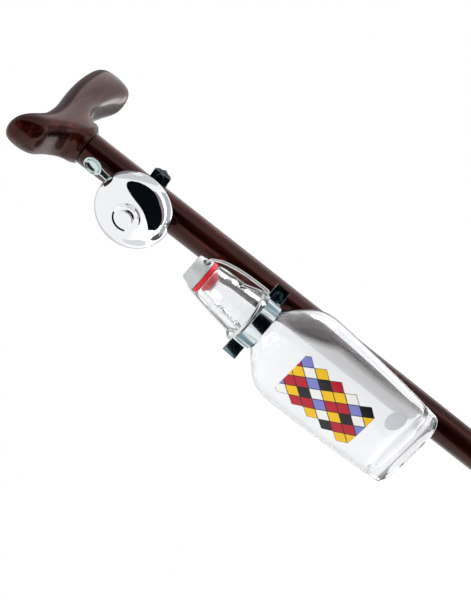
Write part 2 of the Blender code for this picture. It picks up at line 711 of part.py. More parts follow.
def build_bell_head():
    """The post, the spacer, the dome and its cap nut, all about the bell's axis."""
    thread = POST_THREAD_DIAMETER / 2
    journal = POST_JOURNAL_DIAMETER / 2
    collar = POST_COLLAR_DIAMETER / 2
    collar_bottom = CUP_FLOOR_TOP + GAP
    collar_top = collar_bottom + POST_COLLAR_THICKNESS
    top = DOME_CROWN + CAP_NUT_HEIGHT / 2
    profile = [
        (0, top),
        (thread, top),
        (thread, SPACER_BOTTOM - GAP),
        (journal, SPACER_BOTTOM - GAP),
        (journal, collar_top),
        (collar, collar_top),
        (collar, collar_bottom),
        (thread, collar_bottom),
        (thread, SHAFT_RADIUS + 2 * GAP + CLAMP_BAND_WALL),
        (0, SHAFT_RADIUS + 2 * GAP + CLAMP_BAND_WALL),
    ]
    place(turned("bell_post", profile, FINE_STEPS), ZINC_STEEL, BELL_FRAME)
    bore = thread + HOLE_PLAY
    spacer = ring_profile(bore, SPACER_DIAMETER / 2, SPACER_BOTTOM, DOME_SEAT - GAP)
    place(turned("dome_spacer", spacer, FINE_STEPS, closed=True), ZINC_STEEL, BELL_FRAME)
    place(turned("bell_dome", dome_profile(), DOME_STEPS, closed=True), CHROME, BELL_FRAME)
    nut = CAP_NUT_DIAMETER / 2
    bottom = DOME_CROWN + GAP
    edge = 0.6 * MM
    profile = [
        (0, bottom + CAP_NUT_HEIGHT),
        (nut - 2 * edge, bottom + CAP_NUT_HEIGHT - edge / 3),
        (nut, bottom + CAP_NUT_HEIGHT - edge),
        (nut, bottom),
        (bore, bottom),
        (bore, top + GAP),
        (0, top + GAP),
    ]
    place(turned("dome_cap_nut", profile, ROUND_STEPS), CHROME, BELL_FRAME)


def gear_outline(radius, teeth, first, last, phase):
    """Outline points of trapezoid teeth numbered first to last, tooth 0 centred at the phase angle."""
    addendum = 0.85 * GEAR_MODULE
    dedendum = 1.15 * GEAR_MODULE
    pitch = 2 * pi / teeth
    slope = radians(20)
    half_tooth = pi * GEAR_MODULE / 4 - GEAR_BACKLASH / 2
    points = []
    for number in range(first, last + 1):
        middle = phase + number * pitch
        for level, direction in ((-dedendum, -1), (addendum, -1), (addendum, 1), (-dedendum, 1)):
            reach = radius + level
            half = half_tooth - level * sin(slope) / cos(slope)
            angle = middle + direction * half / reach
            points.append((reach * cos(angle), reach * sin(angle)))
    return points


def build_thumb_lever():
    """The pressed thumb lever: toothed sector, hub, arm and dished pad, about its pivot."""
    bottom, top = PLATE_STANDOFF, PLATE_STANDOFF + PLATE_THICKNESS
    mesh_angle = -pi / 2 - LEVER_PIVOT_SWING
    pitch = 2 * pi / SECTOR_TEETH
    teeth_before = int(LEVER_TRAVEL / pitch) + 2
    teeth = gear_outline(SECTOR_RADIUS, SECTOR_TEETH, -teeth_before, 1, mesh_angle)
    hub = LEVER_HUB_DIAMETER / 2
    start = mesh_angle - teeth_before * pitch
    end = mesh_angle + pitch
    outline = teeth + arc((0, 0), hub, end + pi / 3, start - pi / 3 + 2 * pi)[::1]
    pivot = frame("thumb_lever_axis", (PIVOT_X, PIVOT_Y, 0), parent=BELL_FRAME)
    lever = place(plate("thumb_lever", outline, bottom, top), CHROME, pivot)
    half = LEVER_ARM_WIDTH / 2
    arm = box("lever_arm", (-half, 0, bottom), (half, PAD_DISTANCE - PAD_LENGTH / 2 + 2 * MM, top))
    join(lever, arm, rotation=(0, 0, -LEVER_LEAN))
    rim = 1.0 * MM
    pad = PAD_LENGTH / 2
    profile = [
        (0, top - PAD_DEPTH),
        (pad - 3 * rim, top - PAD_DEPTH),
        (pad - 1.6 * rim, top + 0.1 * MM),
        (pad - 0.8 * rim, top + rim),
        (pad, top + rim),
        (pad, top + rim / 2),
        (pad - 0.8 * rim, bottom + 0.2 * MM),
        (pad - 2.6 * rim, bottom - PAD_DEPTH),
        (0, bottom - PAD_DEPTH),
    ]
    dish = turned("lever_pad", profile, FINE_STEPS)
    dish.scale = (PAD_WIDTH / PAD_LENGTH, 1.0, 1.0)
    spot = (PAD_DISTANCE * sin(LEVER_LEAN), PAD_DISTANCE * cos(LEVER_LEAN), 0)
    join(lever, dish, spot, (0, 0, -LEVER_LEAN))
    hole = cylinder("lever_hole", PIVOT_PIN_DIAMETER / 2 + HOLE_PLAY, bottom - GAP, top + GAP)
    cut(lever, hole)
    return lever


def build_lever_pin_and_spring():
    """The riveted pin that the lever turns on, and the coil spring round it."""
    shank = PIVOT_PIN_DIAMETER / 2
    head = PIVOT_HEAD_DIAMETER / 2
    low = CUP_FLOOR_STANDOFF - GAP
    high = PLATE_STANDOFF + PLATE_THICKNESS + GAP
    profile = [
        (0, high + PIVOT_HEAD_THICKNESS),
        (head, high + PIVOT_HEAD_THICKNESS),
        (head, high),
        (shank, high),
        (shank, low),
        (head, low),
        (head, low - PIVOT_HEAD_THICKNESS),
        (0, low - PIVOT_HEAD_THICKNESS),
    ]
    place(turned("lever_pivot_pin", profile, FINE_STEPS), ZINC_STEEL, BELL_FRAME, (PIVOT_X, PIVOT_Y, 0))
    radius = SPRING_DIAMETER / 2
    start = CUP_FLOOR_TOP + GAP + SPRING_WIRE / 2
    rise = PLATE_STANDOFF - GAP - SPRING_WIRE / 2 - start
    count = int(SPRING_TURNS * 16)
    points = []
    for index in range(count + 1):
        angle = 2 * pi * SPRING_TURNS * index / count
        points.append((radius * cos(angle), radius * sin(angle), start + rise * index / count))
    points.insert(0, (radius, -3.0 * MM, start))
    points.append((radius, 3.0 * MM, start + rise))
    spring = wire("lever_return_spring", points, SPRING_WIRE / 2)
    place(spring, STEEL_WIRE, bpy.data.objects["thumb_lever_axis"])


def build_rotor():
    """The striker rotor: pinion, hub and cross arm, with its two loose strikers on their pins."""
    axis = frame("striker_rotor_axis", (0, 0, 0), parent=BELL_FRAME)
    gap_phase = pi / 2 - LEVER_PIVOT_SWING + pi / PINION_TEETH
    teeth = gear_outline(PINION_RADIUS, PINION_TEETH, 0, PINION_TEETH - 1, gap_phase)
    bottom = PLATE_STANDOFF
    arm_top = ROTOR_ARM_STANDOFF + ROTOR_ARM_THICKNESS
    rotor = place(plate("striker_rotor", teeth, bottom, bottom + PLATE_THICKNESS), ZINC_STEEL, axis)
    hub_top = arm_top - ROTOR_ARM_THICKNESS / 2
    hub = cylinder("rotor_hub", PINION_RADIUS - 1.3 * GEAR_MODULE, bottom + PLATE_THICKNESS / 2, hub_top)
    join(rotor, hub)
    half = ROTOR_ARM_WIDTH / 2
    reach = ROTOR_ARM_REACH
    outline = arc((reach, 0), half, -pi / 2, pi / 2, 8) + arc((-reach, 0), half, pi / 2, 3 * pi / 2, 8)
    join(rotor, plate("rotor_arm", outline, ROTOR_ARM_STANDOFF, arm_top))
    cut(rotor, cylinder("rotor_bore", POST_JOURNAL_DIAMETER / 2 + HOLE_PLAY, bottom - GAP, arm_top + GAP))
    pin = STRIKER_PIN_DIAMETER / 2
    head = STRIKER_HEAD_DIAMETER / 2
    low = ROTOR_ARM_STANDOFF - GAP
    high = STRIKER_TOP + GAP
    profile = [
        (0, high + STRIKER_HEAD_THICKNESS),
        (head, high + STRIKER_HEAD_THICKNESS),
        (head, high),
        (pin, high),
        (pin, low),
        (head, low),
        (head, low - STRIKER_HEAD_THICKNESS),
        (0, low - STRIKER_HEAD_THICKNESS),
    ]
    for sign, letter in ((1, "a"), (-1, "b")):
        hole = cylinder(f"rotor_hole_{letter}", pin + HOLE_PLAY, low, arm_top + GAP)
        cut(rotor, hole, (sign * reach, 0, 0))
        place(turned(f"striker_pin_{letter}", profile, 16), ZINC_STEEL, axis, (sign * reach, 0, 0))
        ring = ring_profile(STRIKER_BORE / 2, STRIKER_DIAMETER / 2, STRIKER_BOTTOM, STRIKER_TOP)
        disc = turned(f"striker_disc_{letter}", ring, FINE_STEPS, closed=True)
        place(disc, ZINC_STEEL, axis, (sign * reach, 0, 0))


def glass_sections():
    """Outer sections of the bottle from lip to base: height, half width, half depth."""
    lip = LIP_DIAMETER / 2
    neck = NECK_CLAMP_RADIUS
    wide, deep = SHOULDER_WIDTH / 2, SHOULDER_DEPTH / 2
    foot_wide, foot_deep = FOOT_WIDTH / 2, FOOT_DEPTH / 2
    base = -BOTTLE_BASE_DEPTH
    edge = 0.6 * MM
    collar_bottom = -STRIP_WIDTH / 2 - GAP
    below_lip = LIP_HEIGHT - 4.0 * MM
    above_clamp = STRIP_WIDTH / 2 + 3.0 * MM
    taper = [(LIP_HEIGHT - edge, lip), (below_lip, lip + 0.6 * MM), (above_clamp, neck - 0.2 * MM), (collar_bottom, neck)]
    sections = [(LIP_HEIGHT, lip - edge, lip - edge)]
    sections += [(z, r, r) for z, r in taper]
    shoulder = (
        (0.071, 0.10, 0.10),
        (0.168, 0.26, 0.32),
        (0.290, 0.45, 0.60),
        (0.419, 0.66, 0.80),
        (0.565, 0.84, 0.92),
        (0.742, 0.955, 0.98),
        (1.0, 1.0, 1.0),
    )
    for share_drop, share_wide, share_deep in shoulder:
        width = neck + (wide - neck) * share_wide
        depth = neck + (deep - neck) * share_deep
        sections.append((collar_bottom - share_drop * SHOULDER_DROP, width, depth))
    top = sections[-1][0]
    heel = base + 4.0 * MM
    for share in (0.25, 0.5, 0.75, 1.0):
        bow = 1.3 * MM * sin(pi * share)
        width = wide + (foot_wide - wide) * share + bow
        depth = deep + (foot_deep - deep) * share
        sections.append((top + (heel - top) * share, width, depth))
    sections.append((base + 1.0 * MM, foot_wide - 1.2 * MM, foot_deep - 1.2 * MM))
    sections.append((base, foot_wide - 3.2 * MM, foot_deep - 3.2 * MM))
    return sections


def section_ring(bm, height, half_width, half_depth, count=32):
    """A closed ring of vertices on a superellipse, round where width and depth are alike."""
    flatness = min(1.0, (half_width - half_depth) / (4.0 * MM))
    power = 2.0 + 0.35 * max(0.0, flatness)
    ring = []
    for index in range(count):
        angle = 2 * pi * index / count
        c, s = cos(angle), sin(angle)
        x = half_width * abs(c) ** (2 / power) * (1 if c > 0 else -1)
        y = half_depth * abs(s) ** (2 / power) * (1 if s > 0 else -1)
        ring.append(bm.verts.new((x, y, height)))
    return ring


def skin(bm, rings):
    """Faces between each ring and the next."""
    for upper, lower in zip(rings, rings[1:]):
        for index in range(len(upper)):
            following = (index + 1) % len(upper)
            bm.faces.new((upper[index], upper[following], lower[following], lower[index]))


def build_bottle():
    """The clear glass flask as an open shell: neck, shoulders, oval body and thick floor."""
    bm = bmesh.new()
    outer = [section_ring(bm, *section) for section in glass_sections()]
    mouth = MOUTH_DIAMETER / 2
    inner_sections = [(LIP_HEIGHT, mouth + 0.6 * MM, mouth + 0.6 * MM)]
    inner_sections.append((LIP_HEIGHT - 0.6 * MM, mouth, mouth))
    inner_sections.append((LIP_HEIGHT - MOUTH_DEPTH, mouth, mouth))
    floor = -BOTTLE_BASE_DEPTH + GLASS_FLOOR
    for height, half_width, half_depth in glass_sections():
        if height < LIP_HEIGHT - 2 * MOUTH_DEPTH and height > floor + 6 * MM:
            inner_sections.append((height, half_width - GLASS_WALL, half_depth - GLASS_WALL))
    last_width, last_depth = inner_sections[-1][1:]
    inner_sections.append((floor + 4 * MM, last_width - 1.0 * MM, last_depth - 1.0 * MM))
    inner_sections.append((floor, last_width - 5.0 * MM, last_depth - 5.0 * MM))
    inner = [section_ring(bm, *section) for section in inner_sections]
    skin(bm, outer)
    skin(bm, inner)
    skin(bm, [outer[0], inner[0]])
    bm.faces.new(outer[-1])
    bm.faces.new(inner[-1])
    glass = place(smooth(mesh_object("bottle_glass", bm)), CLEAR_GLASS, BOTTLE_FRAME)
    for side in (1, -1):
        start = neck_radius(PIVOT_HEIGHT) - DIMPLE_DEPTH
        radius = WIRE_DIAMETER / 2 + HOLE_PLAY
        dimple = cylinder(f"dimple_{'right' if side > 0 else 'left'}", radius, start, start + 4 * DIMPLE_DEPTH, 12)
        cut(glass, dimple, (0, 0, PIVOT_HEIGHT), (0, side * radians(90), BOTTLE_TURN - CLOSURE_TURN))
    return glass


def neck_radius(height):
    """Outer radius of the neck at a height above the clamp."""
    sections = glass_sections()
    for (top, upper, _), (low, lower, _) in zip(sections, sections[1:]):
        if low <= height <= top:
            return lower + (upper - lower) * (height - low) / (top - low)
    return NECK_CLAMP_RADIUS


def build_stopper():
    """The swing stopper: its head with the cross hole, its stem, and the red seal."""
    axis = frame("stopper_axis", (0, 0, BAIL_HEIGHT), parent=CLOSURE_FRAME)
    seal_bottom = LIP_HEIGHT + GAP
    seal_top = seal_bottom + SEAL_THICKNESS
    head_bottom = seal_top + GAP
    plug_tip = LIP_HEIGHT - PLUG_DEPTH
    head = STOPPER_DIAMETER / 2
    crown = STOPPER_TOP_DIAMETER / 2
    stem = STEM_DIAMETER / 2
    knob = STEM_KNOB_DIAMETER / 2
    profile = [
        (0, STOPPER_TOP),
        (crown - 1.2 * MM, STOPPER_TOP),
        (crown, STOPPER_TOP - 1.0 * MM),
        (head - 0.8 * MM, head_bottom + 2.6 * MM),
        (head, head_bottom + 1.4 * MM),
        (head, head_bottom),
        (stem, head_bottom),
        (stem, plug_tip - GAP),
        (knob, plug_tip - GAP),
        (knob - 0.6 * MM, plug_tip - GAP - 1.0 * MM),
        (0, plug_tip - GAP - 1.0 * MM),
    ]
    lowered = [(r, z - BAIL_HEIGHT) for r, z in profile]
    stopper = place(turned("stopper", lowered), STOPPER_CERAMIC, axis)
    narrow = WIRE_DIAMETER / 2 + HOLE_PLAY
    wide = RECESS_DIAMETER / 2
    slope = wide - narrow
    right = [(0, STOPPER_DIAMETER), (wide, STOPPER_DIAMETER), (wide, RECESS_START), (narrow, RECESS_START - slope)]
    left = [(r, -z) for r, z in reversed(right)]
    cut(stopper, turned("bail_hole", right + left, 16), rotation=(0, radians(90), 0))
    bore = stem + GAP
    flange = SEAL_DIAMETER / 2
    profile = [
        (flange - 0.4 * MM, seal_top),
        (flange, seal_top - 0.6 * MM),
        (flange, seal_bottom + 0.6 * MM),
        (flange - 0.6 * MM, seal_bottom),
        (PLUG_TOP_DIAMETER / 2, seal_bottom),
        (PLUG_TIP_DIAMETER / 2, plug_tip),
        (bore, plug_tip),
        (bore, seal_top),
    ]
    lowered = [(r, z - BAIL_HEIGHT) for r, z in profile]
    place(turned("stopper_seal", lowered, closed=True), RED_RUBBER, axis)


def bend_through(corner, before, after, radius, steps=5):
    """Points of a round bend at a corner between two straight runs."""
    into = (Vector(before) - Vector(corner)).normalized()
    out = (Vector(after) - Vector(corner)).normalized()
    start = Vector(corner) + into * radius
    end = Vector(corner) + out * radius
    points = []
    for index in range(steps + 1):
        t = index / steps
        points.append(start * (1 - t) ** 2 + Vector(corner) * 2 * t * (1 - t) + end * t ** 2)
    return [tuple(p) for p in points]


def both_sides(right, left):
    """The points of a right half, after those of a left half turned over and run from its far end."""
    return [(-x, y, z) for x, y, z in reversed(left)] + list(right)


def bail_half(bow):
    """One half of the bail: across the stopper, down the leg with its bow and in through the eye."""
    fall = BAIL_HEIGHT - EYE_HEIGHT
    lean = EYE_BACKSET / fall
    flare = HOOK_X - BAIL_SHOULDER
    leg = []
    for share in (0.06, 0.16, 0.28, 0.42, 0.58, 0.74, 0.88):
        drop = share * fall
        x = BAIL_SHOULDER + flare * share ** 0.8 + bow * sin(pi * share ** 0.7)
        leg.append((x, drop * lean, BAIL_HEIGHT - drop))
    shoulder = (BAIL_SHOULDER, 0, BAIL_HEIGHT)
    hook = (HOOK_X, EYE_BACKSET, EYE_HEIGHT)
    end = (EYE_OFFSET - EYE_PITCH / 2 - WIRE_DIAMETER / 2 - GAP, EYE_BACKSET, EYE_HEIGHT)
    points = [(BAIL_SHOULDER / 2, 0, BAIL_HEIGHT)]
    points += bend_through(shoulder, points[-1], leg[0], 1.8 * MM)
    points += leg[1:]
    points += bend_through(hook, leg[-1], end, HOOK_CORNER)
    points.append(end)
    return points


def locking_half():
    """One half of the locking wire: hoop round the neck, eye, riser and pivot end."""
    outer = EYE_OFFSET + EYE_PITCH / 2
    inner = EYE_OFFSET - EYE_PITCH / 2
    eye_top = EYE_HEIGHT + EYE_RADIUS
    points = []
    for index in range(1, 8):
        angle = radians(90) * index / 8
        height = HOOP_HEIGHT + (eye_top - HOOP_HEIGHT) * (index / 8) ** 3
        points.append((outer * sin(angle), -HOOP_REACH * cos(angle), height))
    turns = 14
    for index in range(turns + 1):
        angle = radians(90) + radians(270) * index / turns
        x = outer + (inner - outer) * index / turns
        y = EYE_BACKSET - EYE_RADIUS * cos(angle - pi)
        points.append((x, y, EYE_HEIGHT + EYE_RADIUS * sin(angle)))
    front = points[-1][1]
    knee = (inner, front, EYE_HEIGHT + 1.5 * MM)
    pivot_x = neck_radius(PIVOT_HEIGHT) + GAP + WIRE_DIAMETER / 2
    shoulder = (pivot_x, 0, PIVOT_HEIGHT)
    points.append(knee)
    points += bend_through(shoulder, knee, (0, 0, PIVOT_HEIGHT), 1.4 * MM, 4)
    points.append((neck_radius(PIVOT_HEIGHT) - DIMPLE_DEPTH + GAP, 0, PIVOT_HEIGHT))
    return points


def build_wires():
    """The bail through the stopper, and the locking wire that it hooks on."""
    bail_axis = frame("bail_axis", (0, EYE_BACKSET, EYE_HEIGHT), parent=CLOSURE_FRAME)
    lever_axis = frame("locking_lever_axis", (0, 0, PIVOT_HEIGHT), parent=CLOSURE_FRAME)
    bail = both_sides(bail_half(BAIL_BOW_RIGHT), bail_half(BAIL_BOW_LEFT))
    lever = both_sides([(0, -HOOP_REACH, HOOP_HEIGHT)] + locking_half(), locking_half())
    for name, path, axis in (("bail_wire", bail, bail_axis), ("locking_lever", lever, lever_axis)):
        offset = Vector(axis.location)
        points = [tuple(Vector(p) - offset) for p in path]
        place(wire(name, points, WIRE_DIAMETER / 2), STEEL_WIRE, axis)


def strip_path():
    """Middle line of the clamp strip in plan, from the right ear round the neck to the left ear."""
    ear_y = NECK_FORWARD - EAR_FRONT + STRIP_THICKNESS / 2
    end = STRIP_RADIUS + STRIP_THICKNESS / 2 + EAR_REACH
    bend = STRIP_BEND
    right = [(end, ear_y)]
    right += arc((STRIP_RADIUS + bend, ear_y - bend), bend, pi / 2, pi, 6)
    half = right + arc((0, 0), STRIP_RADIUS, 0, -pi / 2, ARC_STEPS)
    other = [(-x, y) for x, y in reversed(half[:-1])]
    return half + other


def build_neck_clamp():
    """The bent strip round the neck, the back plate on the shaft, and their two screws."""
    half = STRIP_WIDTH / 2
    bm = bmesh.new()
    path = strip_path()
    rows = [[bm.verts.new((x, y, z)) for x, y in path] for z in (-half, half)]
    for index in range(len(path) - 1):
        bm.faces.new((rows[0][index], rows[0][index + 1], rows[1][index + 1], rows[1][index]))
    strip = place(mesh_object("neck_clamp_strip", bm), CHROME, NECK_FRAME)
    shell = strip.modifiers.new("strip_thickness", "SOLIDIFY")
    shell.thickness = STRIP_THICKNESS
    shell.offset = 0.0
    reach = STRIP_RADIUS + STRIP_THICKNESS / 2 + EAR_REACH
    back = NECK_FORWARD - BACK_PLATE_FRONT
    low = (-reach, back, -half)
    high = (reach, back + BACK_PLATE_THICKNESS, half)
    plate_object = place(box("neck_clamp_back_plate", low, high), CHROME, NECK_FRAME)
    radius = SCREW_DIAMETER / 2 + HOLE_PLAY
    for side in (1, -1):
        for piece in (strip, plate_object):
            hole = cylinder(f"{piece.name}_hole_{side}", radius, -30 * MM, 30 * MM)
            cut(piece, hole, (side * NECK_OFFSET, NECK_FORWARD, 0), (radians(90), 0, 0))
    front = EAR_FRONT + GAP
    build_wood_screw(front)
    tail = EAR_FRONT - 0.2 * MM
    bolt = pan_screw("clamp_bolt", GAP - SHAFT_RADIUS - GAP + 0.0, tail)
    place(bolt, ZINC_STEEL, CLAMP_FRAME, (LEFT_BOLT_X, 0, 0), (radians(-90), 0, 0))


def build_wood_screw(front):
    """The round-head screw through the right ear into the shaft."""
    shank = SCREW_DIAMETER / 2
    head = SCREW_HEAD_DIAMETER / 2 + 0.4 * MM
    tip = 3.0 * MM
    end = front - WOOD_SCREW_LENGTH
    profile = [(0, front + SCREW_HEAD_HEIGHT)]
    profile += [(head * sin(a), front + SCREW_HEAD_HEIGHT * cos(a)) for a in (0.5, 1.0, pi / 2)]
    profile += [(shank, front), (shank, end + tip), (0, end)]
    screw = turned("stick_screw", profile, FINE_STEPS)
    place(screw, ZINC_STEEL, CLAMP_FRAME, (0, 0, 0), (radians(90), 0, 0))


def main():
    """Builds the whole stick."""
    build_shaft()
    build_ferrule()
    build_handle()
    build_bell_base()
    build_bell_clamp()
    build_bell_head()
    build_thumb_lever()
    build_lever_pin_and_spring()
    build_rotor()
    build_bottle()
    build_stopper()
    build_wires()
    build_neck_clamp()
    crank = hypot(EYE_BACKSET, PIVOT_HEIGHT - EYE_HEIGHT)
    print(f"locking crank {crank / MM:.2f} mm, lever ratio {SECTOR_TEETH / PINION_TEETH:.4f}")
    print(f"lever travel {degrees(LEVER_TRAVEL):.0f} degrees")


main()
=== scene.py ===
"""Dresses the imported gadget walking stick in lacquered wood, chrome, glass, wire and rubber.

The row frame has +Z up the shaft, with the bell and the flask on its -Y side. Lengths are written
in millimetres times MM and angles in degrees. Each piece is a surface worked out in the frame of
what carries it, and its place is in its mesh.
"""

import logging
from dataclasses import dataclass
from enum import Enum

import bmesh
import bpy
import numpy as np
from mathutils import Matrix


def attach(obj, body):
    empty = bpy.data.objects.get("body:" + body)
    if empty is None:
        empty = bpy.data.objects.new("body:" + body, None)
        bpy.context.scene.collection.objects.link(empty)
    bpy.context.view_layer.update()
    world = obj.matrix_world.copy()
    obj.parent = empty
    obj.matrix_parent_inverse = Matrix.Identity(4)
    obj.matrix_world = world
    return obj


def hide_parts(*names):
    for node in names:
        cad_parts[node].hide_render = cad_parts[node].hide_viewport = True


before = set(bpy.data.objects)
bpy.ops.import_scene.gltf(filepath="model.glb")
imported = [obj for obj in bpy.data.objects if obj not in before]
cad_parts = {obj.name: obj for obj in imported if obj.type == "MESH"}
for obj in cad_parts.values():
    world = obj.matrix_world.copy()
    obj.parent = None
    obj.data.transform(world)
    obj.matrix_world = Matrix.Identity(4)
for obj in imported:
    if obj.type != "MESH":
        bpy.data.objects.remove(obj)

MM = 0.001
GAP = 0.3 * MM          # clearance between pieces that meet
WELD = 1e-7             # points of a grid that lie closer than this are one point
CAD_WELD = 2e-6         # the same for a node's own triangles
SHARP = 32.0            # degrees between faces past which an edge stays sharp
SHAFT_RADIUS = 11.1 * MM
HANDLE_TURN = -31.0     # degrees about the shaft
LOG = logging.getLogger("gadget_walking_stick")
Array = np.ndarray


class Body(Enum):
    """The CAD bodies that the pieces ride on."""

    STICK = "stick"
    LEVER = "bell_lever"
    ROTOR = "rotor"
    STRIKER_A = "striker_a"
    STRIKER_B = "striker_b"
    LOCK = "lock"
    BAIL = "bail"
    STOPPER = "stopper_head"


# ---------------------------------------------------------------- places

def shift(x: float = 0.0, y: float = 0.0, z: float = 0.0) -> Array:
    """A 4x4 matrix that moves by x, y and z."""
    made = np.eye(4)
    made[:3, 3] = (x, y, z)
    return made


def turn(axis: str, degrees: float) -> Array:
    """A 4x4 matrix that turns about a coordinate axis.

    Args:
        axis: "x", "y" or "z".
        degrees: the angle, counterclockwise seen from the axis's far end.

    Returns:
        The matrix, with the angle's cosine and sine in the rows of the other two axes.
    """
    first, second = {"x": (1, 2), "y": (2, 0), "z": (0, 1)}[axis]
    angle = np.radians(degrees)
    made = np.eye(4)
    made[first, first] = made[second, second] = np.cos(angle)
    made[second, first] = np.sin(angle)
    made[first, second] = -np.sin(angle)
    return made


def placed(points: Array, matrix: Array) -> Array:
    """Points carried by a 4x4 matrix: the turned point plus the shift."""
    return points @ matrix[:3, :3].T + matrix[:3, 3]


# ---------------------------------------------------------------- lines

def smooth_line(points: Array, count: int) -> Array:
    """A smooth line through given points.

    A Catmull-Rom cubic: between two points it is the cubic whose slope at each of them is half
    the step from the point before to the point after.

    Args:
        points: the points to pass through, one a row.
        count: how many points the line gets.

    Returns:
        The line's points, evenly shared out over the given ones.
    """
    points = np.asarray(points, float)
    before = 2 * points[0] - points[1]
    after = 2 * points[-1] - points[-2]
    padded = np.vstack([before, points, after])
    place = np.linspace(0, len(points) - 1, count)
    index = np.minimum(place.astype(int), len(points) - 2)
    t = (place - index)[:, None]
    a, b, c, d = (padded[index + k] for k in range(4))
    square, cube = 2 * a - 5 * b + 4 * c - d, 3 * b - a - 3 * c + d
    return 0.5 * (2 * b + (c - a) * t + square * t**2 + cube * t**3)


def rounded(points: Array, radius: float | Array, steps: int = 5, closed: bool = False) -> Array:
    """A line with its corners rounded off.

    Each corner gives way to a quadratic curve from a point that far before it to one that far
    after it: (1-t)^2 start + 2t(1-t) corner + t^2 end.

    Args:
        points: the corners, one a row.
        radius: the length cut off on each side of a corner, one for all or one a corner.
        steps: spans in each curve.
        closed: whether the last corner joins the first.

    Returns:
        The rounded line's points, the first repeated at the end where it is closed.
    """
    points = np.asarray(points, float)
    reach = np.broadcast_to(np.asarray(radius, float), (len(points),))
    before, after = np.roll(points, 1, axis=0) - points, np.roll(points, -1, axis=0) - points
    into = np.linalg.norm(before, axis=1, keepdims=True)
    out = np.linalg.norm(after, axis=1, keepdims=True)
    start = points + before / into * np.minimum(reach[:, None], 0.49 * into)
    end = points + after / out * np.minimum(reach[:, None], 0.49 * out)
    t = np.linspace(0, 1, steps + 1)[None, :, None]
    curves = (1 - t) ** 2 * start[:, None] + 2 * t * (1 - t) * points[:, None] + t**2 * end[:, None]
    if closed:
        return np.vstack([curves.reshape(-1, points.shape[1]), curves[0, :1]])
    return np.vstack([points[:1], curves[1:-1].reshape(-1, points.shape[1]), points[-1:]])


def arc(
    radius: float, start: float, end: float, steps: int, centre: tuple[float, float] = (0, 0)
) -> Array:
    """Points on a circle between two angles in degrees: centre + radius (cos, sin)."""
    angle = np.radians(np.linspace(start, end, steps + 1))
    return np.column_stack([centre[0] + radius * np.cos(angle), centre[1] + radius * np.sin(angle)])


def along(line: Array) -> Array:
    """Unit directions of a line at its points: the step from the point before to the one after."""
    step = np.gradient(line, axis=0)
    return step / np.linalg.norm(step, axis=1, keepdims=True)


# ---------------------------------------------------------------- surfaces

def turned(profile: Array, steps: int = 96) -> Array:
    """A profile turned about Z.

    Args:
        profile: (radius, height) rows.
        steps: how many spans the turn has.

    Returns:
        A grid of points (radius cos a, radius sin a, height), a row for each profile point.
    """
    profile = np.asarray(profile, float)
    angle = np.linspace(0, 2 * np.pi, steps + 1)
    radius, height = profile[:, :1], profile[:, 1:]
    return np.stack([radius * np.cos(angle), radius * np.sin(angle), height + 0 * angle], axis=-1)


def rod(line: Array, radius: float, steps: int = 20) -> list[Array]:
    """A round wire along a line, with rounded ends.

    The ring at each point is radius (cos a * side + sin a * other), where side is carried along
    the line with the least turning and other is the direction crossed with it.

    Args:
        line: the middle line's points.
        radius: the wire's radius.
        steps: spans round the wire.

    Returns:
        One grid, whose first and last rows close the ends.
    """
    ahead = along(line)
    side = np.empty_like(ahead)
    side[0] = np.cross(ahead[0], (0.31, 0.52, 0.79))
    for index in range(1, len(ahead)):
        side[index] = side[index - 1] - ahead[index] * (side[index - 1] @ ahead[index])
    side /= np.linalg.norm(side, axis=1, keepdims=True)
    other = np.cross(ahead, side)
    angle = np.linspace(0, 2 * np.pi, steps + 1)[None, :, None]
    bend = np.radians(np.array([0, 30, 60, 80]))         # the rings of a rounded end
    scale = np.concatenate([np.sin(bend), np.ones(len(line)), np.sin(bend[::-1])])
    push = np.concatenate([-np.cos(bend), np.zeros(len(line)), np.cos(bend[::-1])]) * 0.5
    take = np.concatenate([np.zeros(4, int), np.arange(len(line)), np.full(4, len(line) - 1)])
    ring = np.cos(angle) * side[take, None] + np.sin(angle) * other[take, None]
    centre = line[take] + ahead[take] * (push * radius)[:, None]
    return [centre[:, None] + ring * (radius * scale)[:, None, None]]


def strip(line: Array, section: Array) -> list[Array]:
    """A flat strip along a line in plan.

    A point is the line's point plus the section's first value along the line's left-hand normal,
    at the section's second value as its height.

    Args:
        line: (x, y) rows.
        section: closed (across, height) rows.

    Returns:
        The side grid and the two ends.
    """
    ahead = along(line)
    left = np.column_stack([-ahead[:, 1], ahead[:, 0]])
    across, height = section[:, 0], section[:, 1]
    plan = line[:, None] + left[:, None] * across[None, :, None]
    level = np.broadcast_to(height[None, :, None], plan.shape[:2] + (1,))
    return lidded(np.concatenate([plan, level], axis=2))


def prism(outline: Array, low: float, high: float, edge: float = 0.15 * MM) -> list[Array]:
    """An outline in XY drawn up between two heights, with its edges broken.

    The rows are the outline drawn in by the edge at the ends and in full between them.

    Args:
        outline: closed (x, y) rows.
        low: the lower face's height.
        high: the upper face's height.
        edge: the width of the broken edge.

    Returns:
        The side grid and the two faces.
    """
    inward = drawn_in(outline, edge)
    return stacked([(inward, low), (outline, low + edge), (outline, high - edge), (inward, high)])


def drawn_in(outline: Array, distance: float) -> Array:
    """A closed outline moved inwards: each point goes that far along the normal on its inner side."""
    ring = outline[:-1]
    step = np.roll(ring, -1, axis=0) - np.roll(ring, 1, axis=0)
    step /= np.maximum(np.linalg.norm(step, axis=1, keepdims=True), 1e-12)
    area = np.sum(ring[:, 0] * np.roll(ring[:, 1], -1) - np.roll(ring[:, 0], -1) * ring[:, 1])
    inner = np.column_stack([-step[:, 1], step[:, 0]]) * np.sign(area)
    moved = ring + inner * distance
    return np.vstack([moved, moved[:1]])


def lidded(grid: Array) -> list[Array]:
    """A grid of closed rings with its first and last ring closed by a flat face each."""
    return [grid, grid[:1], grid[-1:]]


